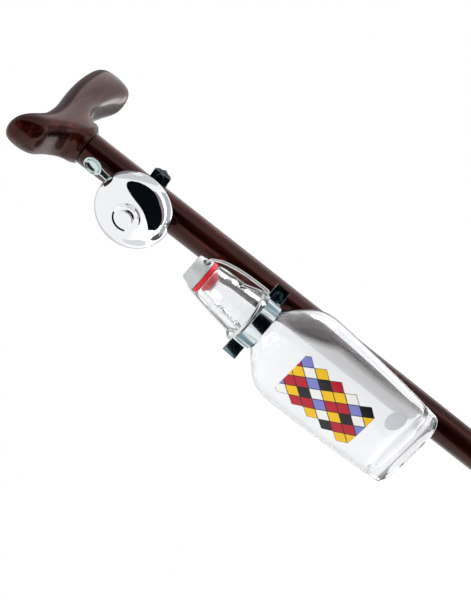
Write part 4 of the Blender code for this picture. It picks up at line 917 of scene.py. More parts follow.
@dataclass
class Bell:
    """The bell: its dome and cap nut, its base and clamp on the shaft, and its lever and strikers."""

    height: float = 831.5 * MM
    turn_by: float = -28.0
    dome_radius: float = 25.0 * MM
    rim: float = 27.6 * MM
    depth: float = 15.2 * MM
    wall: float = 1.0 * MM
    boss_radius: float = 8.1 * MM
    boss_height: float = 0.8 * MM
    nut_radius: float = 5.1 * MM
    nut_height: float = 1.8 * MM
    bore: float = 2.0 * MM
    band_wall: float = 1.8 * MM
    band_half: float = 6.0 * MM
    ear_reach: float = 6.2 * MM
    ear_low: float = 0.6 * MM
    ear_high: float = 2.6 * MM
    screw_x: float = 16.5 * MM
    pivot: tuple[float, float] = (3.3682 * MM, 15.8460 * MM)
    plate_low: float = 23.1 * MM
    plate_high: float = 24.6 * MM
    module: float = 0.9 * MM
    sector_teeth: int = 25
    backlash: float = 0.45 * MM
    tooth_bearing: float = -102.0
    lever_lean: float = -5.3
    pad_distance: float = 19.9 * MM
    pad_length: float = 13.0 * MM
    pad_width: float = 9.8 * MM

    def __post_init__(self) -> None:
        """Works out the frames of the clamp and of the bell, which looks out from the shaft."""
        self.band_place = shift(z=self.height) @ turn("z", self.turn_by)
        self.place = self.band_place @ turn("x", 90)

    def build(self) -> None:
        """Builds every piece of the bell."""
        dome, nut = [turned(self.dome_profile(), 128)], [turned(self.nut_profile(), 96)]
        make_piece("mirror_dome", dome, self.place, CHROME, Body.STICK, "bell_dome")
        make_piece("flat_cap_nut", nut, self.place, CHROME, Body.STICK, "dome_cap_nut")
        # the bell's base is painted dark: a painted reflection of dark surroundings in its chrome
        welded_copy("bell_base", CHROME_PAINTED_DARK, Body.STICK)
        self.build_clamp()
        self.build_lever()
        for node in ("bell_post", "dome_spacer", "lever_pivot_pin"):
            welded_copy(node, ZINC, Body.STICK)
        welded_copy("lever_return_spring", WIRE, Body.STICK)
        for node in ("striker_rotor", "striker_pin_a", "striker_pin_b"):
            welded_copy(node, ZINC, Body.ROTOR)
        welded_copy("striker_disc_a", ZINC, Body.STRIKER_A)
        welded_copy("striker_disc_b", ZINC, Body.STRIKER_B)

    def dome_profile(self) -> Array:
        """Closed section of the pressed dome.

        The shell is a quarter ellipse (reach sin a, rim + rise cos a), drawn twice a wall apart,
        with a flat boss in its middle, a raised ring round that and a rounded lip at its rim.
        """
        crown, hole = self.rim + self.depth, self.bore

        def shell(offset: float) -> Array:
            reach, rise = self.dome_radius - offset, self.depth - self.boss_height - offset
            first = np.degrees(np.arcsin((self.boss_radius + 0.8 * MM) / reach))
            angle = np.radians(np.linspace(first, 90, 56))
            return np.column_stack([reach * np.sin(angle), self.rim + rise * np.cos(angle)])

        outer, inner = shell(0), shell(self.wall)[::-1]
        crest = crown + 0.62 * MM
        top = np.array([
            (hole, crown), (self.boss_radius - 0.8 * MM, crown), (self.boss_radius + 0.35 * MM, crest),
            (self.boss_radius + 0.65 * MM, crest), outer[0], outer[2],
        ])
        low = crown - self.wall
        under = np.array([inner[-3], inner[-1], (self.boss_radius - self.wall, low), (hole, low)])
        lip = np.array([outer[-3], outer[-1], inner[0], inner[2]])
        return np.vstack([
            rounded(top, [0, 0.2 * MM, 0.15 * MM, 0.15 * MM, 0.2 * MM, 0], 6), outer[3:-3],
            rounded(lip, [0, 0.4 * MM, 0.4 * MM, 0], 6), inner[3:-3],
            rounded(under, [0, 0.3 * MM, 0.3 * MM, 0], 4), [(hole, crown)],
        ])

    def nut_profile(self) -> Array:
        """Closed section of the cap nut: a faintly domed face, a rounded shoulder and a blind bore."""
        low = self.rim + self.depth + GAP
        high = low + self.nut_height
        blind = high - 0.9 * MM
        share = np.linspace(0, 1, 12)
        face = np.column_stack([share * (self.nut_radius - 0.5 * MM), high - 0.15 * MM * share**2])
        side = [(self.nut_radius, high - 0.55 * MM), (self.nut_radius, low), (self.bore, low)]
        corners = np.vstack([face, side, [(self.bore, blind), (0, blind)]])
        radii = np.array([0.0] * 11 + [0.25, 0.35, 0.1, 0.0, 0.0, 0.0]) * MM
        return rounded(corners, radii, 4)

    def build_clamp(self) -> None:
        """The rear half of the clamp with its rounded ears, and its two screws and nuts."""
        inner = SHAFT_RADIUS + GAP
        outer = inner + self.band_wall
        first = np.degrees(np.arcsin(self.ear_low / inner))
        second = np.degrees(np.arcsin(self.ear_low / outer))
        half = np.vstack([arc(outer, second, 180 - second, 48), arc(inner, 180 - first, first, 48)])
        outline = np.vstack([half, half[:1]])
        grids = prism(outline, -self.band_half, self.band_half, 0.2 * MM)
        place = self.band_place
        # the band's dark tint is a painted reflection, not the colour of its chrome
        band = make_piece("rear_clamp_band", grids, place, CHROME_PAINTED_DARK, Body.STICK, "bell_clamp_band")
        reach, tall = outer + self.ear_reach, self.band_half - 0.05 * MM
        for side in (1, -1):
            start = outer - 0.9 * MM
            ear = np.array([(start, -tall), (reach, -tall), (reach, tall), (start, tall)])
            ear = rounded(ear * (side, 1), [0.2 * MM, 3.4 * MM, 3.4 * MM, 0.2 * MM], 8, closed=True)
            plate = prism(ear, -self.ear_high, -self.ear_low - 0.05 * MM, 0.2 * MM)
            carve(band, plate, place @ turn("x", 90), "UNION")
        face = self.ear_high + GAP
        for side, name in ((1, "right"), (-1, "left")):
            where = place @ shift(x=side * self.screw_x) @ turn("x", 90)
            carve(band, [drill(HOLE_RADIUS, -8 * MM, 8 * MM)], where)
            profile = pan_head(face, -face - 3.0 * MM)
            slotted_screw(f"bell_screw_{name}", profile, where, face + HEAD_HEIGHT, HEAD_RADIUS)
            hexagon_nut(f"bell_nut_{name}", -face - 2.2 * MM, -face, where)

    def sector_outline(self) -> Array:
        """The lever's plate about its pivot: six teeth on an arc and a round hub.

        A tooth's four corners lie below and above the pitch circle, half a tooth less the backlash
        to each side, narrowing by 20 degrees towards the tip.
        """
        radius = self.module * self.sector_teeth / 2
        pitch = 360.0 / self.sector_teeth
        middle = self.tooth_bearing + pitch * np.arange(-4, 2)[:, None]
        level = np.array([-1.15, 0.85, 0.85, -1.15]) * self.module
        sign = np.array([-1, -1, 1, 1])
        half = np.pi * self.module / 4 - self.backlash / 2 - level * np.tan(np.radians(20))
        angle = np.radians(middle + sign * np.degrees(half / (radius + level)))
        reach = np.broadcast_to(radius + level, angle.shape)
        teeth = np.column_stack([(reach * np.cos(angle)).ravel(), (reach * np.sin(angle)).ravel()])
        first, last = self.tooth_bearing - 4 * pitch, self.tooth_bearing + pitch
        hub = arc(4.0 * MM, last + 60, first + 300, 18)
        return np.vstack([teeth, hub, teeth[:1]])

    def arm(self) -> list[Array]:
        """The lever's arm, pressed to an off-centre ridge that stiffens it.

        Its section is a five-sided outline with rounded corners, whose width narrows from the hub
        and grows a little at the pad.
        """
        root, end = 2.0 * MM, self.pad_distance - self.pad_length / 2 + 2.0 * MM
        sides = [(3.2 * MM, root), (2.2 * MM, root + 3 * MM), (1.9 * MM, end - 4 * MM), (2.4 * MM, end)]
        side = smooth_line(np.array(sides), 24)
        corners = np.array([(-1.0, 0.0), (1.0, 0.0), (1.0, 0.8), (-0.35, 2.3), (-1.0, 1.3)]) * (2.2, 1.0)
        section = rounded(corners, 0.25, 5, closed=True)
        width = section[:, 0] / 2.2
        x, y = side[:, :1] * width, side[:, 1:] + 0 * width
        return lidded(np.stack([x, y, self.plate_low + section[:, 1] * MM + 0 * x], axis=-1))

    def build_lever(self) -> None:
        """The thumb lever: its toothed plate, its waisted arm and its dished oval pad."""
        place = self.place @ shift(*self.pivot)
        plate = prism(self.sector_outline(), self.plate_low, self.plate_high)
        lever = make_piece("pressed_thumb_lever", plate, place, LEVER_CHROME, Body.LEVER, "thumb_lever")
        lean = turn("z", self.lever_lean)
        carve(lever, self.arm(), place @ lean, "UNION")
        pad, top, low = self.pad_length / 2, self.plate_high, self.plate_low
        bowl = np.linspace(0, 1, 16)
        dish = np.column_stack([bowl * (pad - 1.2 * MM), top - 1.2 * MM + 2.2 * MM * bowl**2.6])
        bowl = bowl[::-1]
        under = np.column_stack([bowl * (pad - 0.3 * MM), low - 1.1 * MM + 2.5 * MM * bowl**2.4])
        rim = np.array([dish[-1], (pad - 0.35 * MM, top + 1.25 * MM), (pad, top + 0.6 * MM), under[0]])
        profile = np.vstack([dish[:-1], rounded(rim, 0.35 * MM, 5), under[1:]])
        narrowed = np.diag([self.pad_width / self.pad_length, 1.0, 1.0, 1.0])
        where = place @ lean @ shift(y=self.pad_distance) @ narrowed
        carve(lever, [turned(profile, 96)], where, "UNION")
        carve(lever, [drill(HOLE_RADIUS, low - MM, top + MM)], place)


# ---------------------------------------------------------------- the flask and its closure

CLAMP = shift(z=727.6 * MM) @ turn("y", 2.5)
NECK = CLAMP @ shift(-20.5 * MM, -28.0 * MM, 0.0)
FLASK_TURN, CLOSURE_TURN = -23.0, -38.0
FLASK = NECK @ turn("z", FLASK_TURN)
CLOSURE = NECK @ turn("z", CLOSURE_TURN)


@dataclass
class Flask:
    """The glass flask: a blown shell with a thick floor, and the print and the spot on its front."""

    lip: float = 41.3 * MM
    base: float = -124.0 * MM
    wall: float = 3.0 * MM
    floor: float = 7.5 * MM
    mouth: float = 8.0 * MM
    fullness: float = 2.35
    dimple_height: float = 22.9 * MM
    dimple_depth: float = 1.8 * MM
    columns: int = 192

    def sections(self) -> Array:
        """Height, half width and half depth of the outside from below the lip to the heel."""
        heights = (36.5, 28.0, 18.0, 8.0, 2.0, -3.0, -5.3)
        neck = zip(heights, (12.35, 12.95, 13.68, 14.35, 14.6, 14.6, 14.6))
        rows = [(height, radius, radius) for height, radius in neck]
        drops = np.array([0.071, 0.168, 0.290, 0.419, 0.565, 0.742, 1.0]) * 31.0
        wide = 14.6 + 19.4 * np.array([0.10, 0.26, 0.45, 0.66, 0.84, 0.955, 1.0])
        deep = 14.6 + 5.4 * np.array([0.10, 0.32, 0.60, 0.80, 0.92, 0.98, 1.0])
        rows += np.column_stack([-5.3 - drops, wide, deep]).tolist()
        share = np.array([0.25, 0.5, 0.75, 1.0])
        bow = 1.0 * np.sin(np.pi * share)
        walls = [-36.3 - 83.7 * share, 34.0 - 5.5 * share + bow, 19.9 - 1.7 * share]
        rows += np.column_stack(walls).tolist()
        return np.array(rows) * MM

    def ring(self, section: Array) -> Array:
        """Rings of points on a superellipse (w |cos a|^(2/n), d |sin a|^(2/n)).

        The power n is 2 at the neck and grows to the fullness as the flask widens.
        """
        height, wide, deep = (section[:, k, None] for k in range(3))
        power = 2.0 + (self.fullness - 2.0) * np.clip((wide - deep) / (4.0 * MM), 0.0, 1.0)
        angle = np.linspace(0, 2 * np.pi, self.columns + 1)
        c, s = np.cos(angle), np.sin(angle)
        x = wide * np.sign(c) * np.abs(c) ** (2 / power)
        y = deep * np.sign(s) * np.abs(s) ** (2 / power)
        return np.stack([x, y, height + 0 * angle], axis=-1)

    def outside(self) -> Array:
        """Sections of the outside from the lip's crown to the middle of the shallow push-up."""
        lip, base = self.lip, self.base
        corners = [(lip, 9.6 * MM), (lip, 11.7 * MM), (36.5 * MM, 12.35 * MM)]
        crown = rounded(np.array(corners), [0, 1.4 * MM, 0], 8)
        crown = np.column_stack([crown, crown[:, 1]])
        body = smooth_line(self.sections(), 190)
        heel = np.array([
            (4.0, 28.5, 18.25), (1.0, 27.6, 17.3), (0, 25.0, 14.7), (0.3, 22.0, 12.0), (1.3, 17.0, 8.5),
            (1.8, 9.0, 4.5), (1.9, 0, 0),
        ]) * MM + (base, 0, 0)
        return np.vstack([crown[:-1], body[:-1], smooth_line(heel, 36)])

    def inside(self) -> Array:
        """Sections of the inside from the mouth's edge down to the floor, a wall's thickness in."""
        lip, floor, wall = self.lip, self.base + self.floor, self.wall
        bore = self.mouth
        corners = [(lip, 9.6 * MM), (lip, bore), (lip - 7 * MM, bore), (lip - 13 * MM, 9.9 * MM)]
        mouth = rounded(np.array(corners), [0, 0.9 * MM, 3 * MM, 0], 8)
        mouth = np.column_stack([mouth, mouth[:, 1]])
        rows = self.sections() - np.array([0, wall, wall])
        rows = rows[(rows[:, 0] < 26 * MM) & (rows[:, 0] > floor + 8 * MM)]
        shell = smooth_line(np.vstack([mouth[-1:], rows]), 170)
        turn_in = [(6.0, -0.9, -0.7), (2.0, -3.2, -2.8), (0.3, -7.5, -6.5), (0.5, -14.0, -10.5)]
        lower = np.array(turn_in) * MM + (floor, rows[-1, 1], rows[-1, 2])
        lower = np.vstack([rows[-1], lower, (floor + 1.2 * MM, 0, 0)])
        return np.vstack([mouth[:-1], shell[:-1], smooth_line(lower, 36)])

    def dimpled(self, grid: Array) -> Array:
        """The outside with the closure's two dimples, pushed in by depth times a smooth step s^2 (3 - 2s).

        The share s grows from 0 at 2.9 mm from a dimple's middle to 1 at 1.3 mm.
        """
        turned_by = np.radians(CLOSURE_TURN - FLASK_TURN)
        spot = np.array([np.cos(turned_by), np.sin(turned_by), 0.0]) * 13.3 * MM
        made = grid.copy()
        for side in (1, -1):
            centre = spot * side + np.array([0, 0, self.dimple_height])
            away = np.linalg.norm(made - centre, axis=-1)
            share = np.clip((2.9 * MM - away) / (1.6 * MM), 0, 1)
            share = share * share * (3 - 2 * share)
            made -= (spot * side / np.linalg.norm(spot)) * (share * self.dimple_depth)[..., None]
        return made

    def build(self) -> None:
        """Builds the glass, its print and its frosted spot."""
        skins = [self.dimpled(self.ring(self.outside())), self.ring(self.inside())]
        made = make_piece("blown_flask", skins, FLASK, GLASS, Body.STICK, "bottle_glass", sharp=80.0)
        # the film attribute marks a painted haze on the front, a white layer standing in for reflected light
        self.mark_painted_haze(made.data)
        self.build_print()
        self.build_spot()

    def build_spot(self) -> None:
        """The frosted oval near the foot: middle + share (a cos t, b sin t), turned by its lean."""
        share, angle = np.meshgrid(np.linspace(0, 1, 12), np.linspace(0, 2 * np.pi, 49), indexing="ij")
        long, wide = share * np.cos(angle) * 7.0 * MM, share * np.sin(angle) * 5.2 * MM
        lean = np.radians(-21.0)
        x = 16.4 * MM + long * np.cos(lean) - wide * np.sin(lean)
        z = -99.6 * MM + long * np.sin(lean) + wide * np.cos(lean)
        skin = self.front(x, z)[::-1]
        self.thicken(make_piece("frosted_oval", [skin], FLASK, FROST, Body.STICK))

    @staticmethod
    def local(mesh: bpy.types.Mesh) -> Array:
        """A mesh's points in the flask's own frame."""
        points = np.empty(len(mesh.vertices) * 3)
        mesh.vertices.foreach_get("co", points)
        return placed(points.reshape(-1, 3), np.linalg.inv(FLASK))

    def half_sizes(self, height: Array) -> tuple[Array, Array]:
        """The outside's half width and half depth at heights, read off its sections."""
        table = smooth_line(self.sections(), 190)[::-1]
        return tuple(np.interp(height, table[:, 0], table[:, k]) for k in (1, 2))

    def mark_painted_haze(self, mesh: bpy.types.Mesh) -> None:
        """Gives the outer skin its film, a painted haze of reflected light: 1 on the front, fading to the
        sides, the shoulder and the foot.

        On the right, where the stick shows through, it drops to 0.06 past an edge that lies 14 mm
        from the middle at the shoulder and 25 mm lower down.
        """
        x, y, z = self.local(mesh).T
        wide, deep = self.half_sizes(z)
        skin = (np.abs(x / wide) ** self.fullness + np.abs(y / deep) ** self.fullness) > 0.9
        edge = 14 * MM + 11 * MM * np.clip((-15 * MM - z) / (30 * MM), 0, 1)
        front = np.clip(-y / deep / 0.3, 0, 1) * (1 - 0.94 * np.clip((x - edge) / (4 * MM), 0, 1))
        upper = np.clip((-6 * MM - z) / (14 * MM), 0, 1)
        lower = np.clip((z - self.base - 2 * MM) / (6 * MM), 0, 1)
        film = (skin * front * upper * lower).astype(np.float32)
        mesh.attributes.new("film", "FLOAT", "POINT").data.foreach_set("value", film)

    def front(self, x: Array, z: Array) -> Array:
        """Points 0.03 mm off the flask's front at x and z: y = -d (1 - |x/w|^n)^(1/n)."""
        wide, deep = (half + 0.03 * MM for half in self.half_sizes(z))
        y = -deep * (1 - np.abs(x / wide) ** self.fullness) ** (1 / self.fullness)
        return np.stack([x, y, z], axis=-1)

    def build_print(self) -> None:
        """The printed design: a film of enamel 0.05 mm thick on the front, with its own UV map.

        Its sides zigzag with the diamonds: half width = half (3/4 + (1 - |2 frac(row) - 1|) / 4).
        """
        half, low, high, middle = 16.5 * MM, -89.0 * MM, -32.0 * MM, -2.7 * MM
        share, z = np.meshgrid(np.linspace(-1, 1, 65), np.linspace(low, high, 109))
        row = PRINT_ROWS * (z - low) / (high - low)
        tooth = 1 - np.abs(2 * (row % 1) - 1)
        x = share * half * (0.75 + 0.25 * tooth) + middle
        made = make_piece("printed_panel", [self.front(x, z)], FLASK, PRINT, Body.STICK)
        mesh = made.data
        local = self.local(mesh)
        corner = np.empty(len(mesh.loops), int)
        mesh.loops.foreach_get("vertex_index", corner)
        across, up = (local[:, 0] - middle) / (2 * half) + 0.5, (local[:, 2] - low) / (high - low)
        uv = np.column_stack([across, up])
        mesh.uv_layers.new(name="print").data.foreach_set("uv", uv[corner].ravel())
        self.thicken(made)

    @staticmethod
    def thicken(made: bpy.types.Object) -> None:
        """Makes a skin into a film 0.05 mm thick."""
        away = made.modifiers.new("film", "SOLIDIFY")
        away.thickness, away.offset = 0.05 * MM, 1.0


PRINT_ROWS = 4.75       # rows of diamonds up the print


@dataclass(frozen=True)
class ScreenPrint(Finish):
    """Coloured enamels screen printed on the glass and fired: flat, opaque and slightly glossy.

    A harlequin of crimson, yellow, lavender, white and black diamonds 8 mm wide and 12 mm tall,
    with thin black lines between them.
    """

    crimson: str = "#b5162b"
    yellow: str = "#f3c21c"
    lavender: str = "#7d83c9"
    white: str = "#f4f2ee"
    black: str = "#141214"

    def paint(self, tree: bpy.types.NodeTree, shader: bpy.types.Node) -> None:
        """Diamonds from the sum and the difference of the map's two directions."""
        split = add_node(tree, "SeparateXYZ", {"Vector": add_node(tree, "UVMap").outputs["UV"]})
        across, up = split.outputs["X"], split.outputs["Y"]

        def calc(operation: str, first: object, second: object = 0.0) -> bpy.types.NodeSocket:
            return add_node(tree, "Math", {0: first, 1: second}, operation=operation).outputs[0]

        def mix(factor: object, first: object, second: object) -> bpy.types.NodeSocket:
            first, second = (linear(c) if isinstance(c, str) else c for c in (first, second))
            return add_node(tree, "Mix", {0: factor, 6: first, 7: second}, data_type="RGBA").outputs[2]

        def wall(level: object) -> bpy.types.NodeSocket:
            return calc("ABSOLUTE", calc("SUBTRACT", calc("FRACT", level), 0.5))

        columns, rows = calc("MULTIPLY_ADD", across, 4.0), calc("MULTIPLY", up, PRINT_ROWS)
        columns.node.inputs[2].default_value = 0.5
        rising, falling = calc("ADD", columns, rows), calc("SUBTRACT", columns, rows)
        one, other = calc("FLOOR", rising), calc("FLOOR", falling)
        second, third = calc("FLOORED_MODULO", one, 2.0), calc("FLOORED_MODULO", other, 3.0)
        seventh = calc("FLOORED_MODULO", calc("ADD", one, calc("MULTIPLY", other, 3.0)), 7.0)
        warm, cool = mix(second, self.crimson, self.yellow), mix(second, self.lavender, self.white)
        colour = mix(calc("GREATER_THAN", third, 1.5), warm, cool)
        colour = mix(calc("GREATER_THAN", seventh, 5.5), colour, self.black)
        line = calc("GREATER_THAN", calc("MAXIMUM", wall(rising), wall(falling)), 0.46)
        self.give(shader, Base_Color=mix(line, colour, self.black), Roughness=0.3, IOR=1.5)


PRINT = ScreenPrint("fired_screen_print", "clear_glass")


@dataclass
class Closure:
    """The swing closure: the stopper with its seal, the bail through it and the locking wire."""

    lip: float = 41.3 * MM
    bail_height: float = 48.3 * MM
    top: float = 54.2 * MM
    wire: float = 1.0 * MM
    eye_offset: float = 18.2 * MM
    eye_backset: float = 2.0 * MM
    eye_height: float = 8.6 * MM
    eye_radius: float = 2.3 * MM
    eye_pitch: float = 2.3 * MM
    hook_x: float = 21.65 * MM
    shoulder: float = 12.8 * MM
    bow_right: float = 3.0 * MM
    bow_left: float = 0.2 * MM
    hoop_reach: float = 17.4 * MM
    hoop_height: float = 7.3 * MM
    pivot_height: float = 22.9 * MM
    pivot_radius: float = 13.33 * MM

    def build(self) -> None:
        """Builds the stopper, the seal and the two wires."""
        self.build_stopper()
        seal = [turned(self.seal_profile(), 96)]
        make_piece("moulded_seal", seal, CLOSURE, RED_RUBBER, Body.STOPPER, "stopper_seal")
        mirrored = (-1, 1, 1)
        line = np.vstack([(self.bail_half(self.bow_left) * mirrored)[::-1], self.bail_half(self.bow_right)])
        bail = rod(smooth_line(line, 260), self.wire)
        make_piece("bent_bail", bail, CLOSURE, WIRE, Body.BAIL, "bail_wire")
        half = self.locking_half()
        line = np.vstack([(half * mirrored)[::-1], [(0, -self.hoop_reach, self.hoop_height)], half])
        lever = rod(smooth_line(line, 420), self.wire)
        make_piece("bent_locking_wire", lever, CLOSURE, WIRE, Body.LOCK, "locking_lever")

    def build_stopper(self) -> None:
        """The stopper's head and stem, with the bail's hole and the recess at each end of it."""
        low, tip = self.lip + 3.4 * MM, self.lip - 5.0 * MM
        corners = np.array([
            (0, self.top), (8.6 * MM, self.top), (10.1 * MM, low + 2.6 * MM), (10.9 * MM, low + 1.4 * MM),
            (10.9 * MM, low), (4.0 * MM, low), (4.0 * MM, tip - GAP), (4.9 * MM, tip - GAP),
            (4.3 * MM, tip - 1.3 * MM), (0, tip - 1.3 * MM),
        ])
        profile = rounded(corners, np.array([0, 1.3, 0.8, 0.5, 0.3, 0.1, 0.1, 0.2, 0.3, 0]) * MM, 6)
        skin = [turned(profile, 96)]
        made = make_piece("moulded_stopper", skin, CLOSURE, STOPPER, Body.STOPPER, "stopper")
        side = np.array([(1.3, 6.0), (2.5, 7.2), (2.5, 14), (0, 14)]) * MM
        hole = np.vstack([(side * (1, -1))[::-1], side])
        carve(made, [turned(hole, 40)], CLOSURE @ shift(z=self.bail_height) @ turn("y", 90))

    def seal_profile(self) -> Array:
        """Closed section of the seal: a flat flange over the lip and a plug that tapers into the mouth."""
        low, high, tip = self.lip + GAP, self.lip + GAP + 2.8 * MM, self.lip - 5.0 * MM
        corners = np.array([
            (11.0 * MM, high), (11.0 * MM, low), (7.65 * MM, low), (7.45 * MM, self.lip - 3.0 * MM),
            (5.2 * MM, tip), (4.3 * MM, tip), (4.3 * MM, high),
        ])
        return rounded(corners, np.array([0.7, 0.7, 0.3, 0.8, 0.5, 0.2, 0.2]) * MM, 6, closed=True)

    def bail_half(self, bow: float) -> Array:
        """Half of the bail: across the stopper, down its bowed leg and in through the eye.

        At a share s of the fall the leg stands at shoulder + flare s^0.8 + bow sin(pi s^0.7).
        """
        fall = self.bail_height - self.eye_height
        share = np.array([0.06, 0.16, 0.28, 0.42, 0.58, 0.74, 0.88])
        x = self.shoulder + (self.hook_x - self.shoulder) * share**0.8 + bow * np.sin(np.pi * share**0.7)
        leg = np.column_stack([x, share * self.eye_backset, self.bail_height - share * fall])
        end = self.eye_offset - self.eye_pitch / 2 - self.wire - GAP
        corners = np.vstack([
            [(self.shoulder / 2, 0, self.bail_height), (self.shoulder, 0, self.bail_height)], leg[1:],
            [(self.hook_x, self.eye_backset, self.eye_height), (end, self.eye_backset, self.eye_height)],
        ])
        return rounded(corners, np.array([0, 1.8] + [0.1] * 6 + [1.6, 0]) * MM, 5)

    def locking_half(self) -> Array:
        """Half of the locking wire: a quarter hoop, three quarters of a turn as an eye, and the riser."""
        outer, inner = self.eye_offset + self.eye_pitch / 2, self.eye_offset - self.eye_pitch / 2
        share = np.arange(1, 8) / 8
        angle = np.radians(90) * share
        rise = self.hoop_height + (self.eye_height + self.eye_radius - self.hoop_height) * share**3
        hoop = np.column_stack([outer * np.sin(angle), -self.hoop_reach * np.cos(angle), rise])
        part = np.linspace(0, 1, 15)
        angle = np.radians(90 + 270 * part)
        eye = np.column_stack([
            outer + (inner - outer) * part, self.eye_backset + self.eye_radius * np.cos(angle),
            self.eye_height + self.eye_radius * np.sin(angle),
        ])
        start, end = self.pivot_radius + GAP + self.wire, self.pivot_radius - 1.5 * MM
        riser = np.array([
            (inner, eye[-1, 1], self.eye_height + 1.5 * MM), (start, 0, self.pivot_height),
            (end, 0, self.pivot_height),
        ])
        return np.vstack([hoop, eye, rounded(riser, [0, 1.4 * MM, 0], 5)])


@dataclass
class NeckClamp:
    """The flask's clamp: a strip bent round the neck, a plate behind it, a bolt and a wood screw."""

    radius: float = 15.65 * MM
    thickness: float = 1.5 * MM
    half_width: float = 5.0 * MM
    bend: float = 2.25 * MM
    crown: float = 0.9 * MM
    ear_end: float = 27.1 * MM
    ear_line: float = 13.95 * MM
    plate_front: float = 15.0 * MM
    plate_back: float = 16.6 * MM
    screw_x: float = 20.5 * MM
    stick_y: float = 28.0 * MM

    def build(self) -> None:
        """Builds the strip, the plate and their fasteners."""
        square = np.array([(-1, -1), (1, -1), (1, 1), (-1, 1)]) * (self.thickness / 2, self.half_width)
        strips = self.crowned(strip(self.path(), rounded(square, 0.3 * MM, 4, closed=True)))
        bent = make_piece("bent_strip", strips, NECK, STRIP_CHROME, Body.STICK, "neck_clamp_strip")
        low = (-self.ear_end, self.plate_front, -self.half_width)
        high = (self.ear_end, self.plate_back, self.half_width)
        plate = block(low, high, 0.5 * MM)
        back = make_piece("back_plate", plate, NECK, STRIP_CHROME, Body.STICK, "neck_clamp_back_plate")
        for piece in (bent, back):
            for side in (1, -1):
                hole = NECK @ shift(side * self.screw_x, self.stick_y, 0) @ turn("x", 90)
                carve(piece, [drill(HOLE_RADIUS, 8 * MM, 20 * MM)], hole)
        bolt, face = CLAMP @ shift(x=-2 * self.screw_x) @ turn("x", -90), -11.1 * MM
        profile = pan_head(face, face - 3.5 * MM)
        slotted_screw("clamp_bolt", profile, bolt, face + HEAD_HEIGHT, HEAD_RADIUS)
        self.build_wood_screw()

    def crowned(self, grids: list[Array]) -> list[Array]:
        """The strip with its ears rolled thinner to their ends: fronts set back by crown * share^2."""
        start = self.radius + 2 * self.bend
        made = []
        for grid in grids:
            share = np.clip((np.abs(grid[..., 0]) - start) / (self.ear_end - start), 0, 1)
            back = np.where(grid[..., 1] < self.ear_line, self.crown * share**2, 0)
            made.append(grid + back[..., None] * (0, 1, 0))
        return made

    def path(self) -> Array:
        """The strip's middle line in plan: an ear, a small bend, round the neck and the same mirrored."""
        line, corner = self.ear_line, self.radius + self.bend
        ear = np.linspace((self.ear_end, line), (corner + self.bend, line), 6)
        bend = arc(self.bend, 90, 180, 12, (corner, line - self.bend))
        side = np.linspace((self.radius, line - self.bend), (self.radius, 0.0), 8)
        half = np.vstack([ear[:-1], [(corner, line)], bend[1:], side[1:-1], arc(self.radius, 0, -90, 36)])
        return np.vstack([half, (half[:-1] * (-1, 1))[::-1]])

    def build_wood_screw(self) -> None:
        """The round-head screw: a domed head over the right ear and a shank that tapers to a point."""
        face, head = 15.1 * MM, 3.4 * MM
        end = face - 13.0 * MM
        angle = np.radians(np.linspace(0, 90, 14))
        crown = np.column_stack([head * np.sin(angle), face + HEAD_HEIGHT * np.cos(angle)])
        profile = np.vstack([crown, [(SHANK_RADIUS, face), (SHANK_RADIUS, end + 3 * MM), (0, end)]])
        slotted_screw("stick_screw", profile, CLAMP @ turn("x", 90), face + HEAD_HEIGHT, head)


# ---------------------------------------------------------------- the studio

WHITE = (1.0, 1.0, 1.0, 1.0)
CARDS = (
    # name, distance, light, and rows of (height, left bearing, right bearing)
    ("dark_gap", 0.775, (0.003, 0.004, 0.006), (
        (-67, 6, 52), (-58, 3, 62), (-45, -1, 62), (-25, -8, 52), (-5, -20, 42), (12, -29, 38),
        (26, -34, 29), (36, -34, 13), (42, -26, -6),
    )),
    ("lilac_edge", 0.78, (0.30, 0.25, 0.29), (
        (-50, 58, 74), (-25, 50, 68), (-5, 40, 58), (12, 36, 52), (26, 26, 40),
    )),
    ("grey_ceiling", 1.6, (0.66, 0.67, 0.70), ((48, -130, 120), (62, -160, 150), (80, -180, 178))),
    ("grey_side", 0.75, (0.50, 0.52, 0.55), ((-32, 82, 118), (0, 76, 122), (34, 70, 112))),
    ("dark_low_side", 0.76, (0.10, 0.10, 0.11), ((-78, 100, 150), (-60, 96, 154), (-42, 100, 150))),
    ("grey_back", 1.6, (0.66, 0.67, 0.69), ((-30, -178, -134), (0, -178, -130), (36, -178, -134))),
    ("dim_upper_left", 1.5, (0.22, 0.22, 0.24), ((24, -179, -118), (45, -179, -112), (72, -179, -100))),
    ("dim_behind", 1.5, (0.30, 0.29, 0.30), ((-26, 152, 179), (0, 154, 179), (26, 156, 179))),
    ("window", 1.035, (3.5, 3.5, 3.5), ((-10, 145, 158), (-4, 145, 158), (2, 145, 158))),
    ("grey_low", 0.76, (0.78, 0.80, 0.82), ((-80, -175, -100), (-64, -175, -104), (-50, -175, -112))),
)


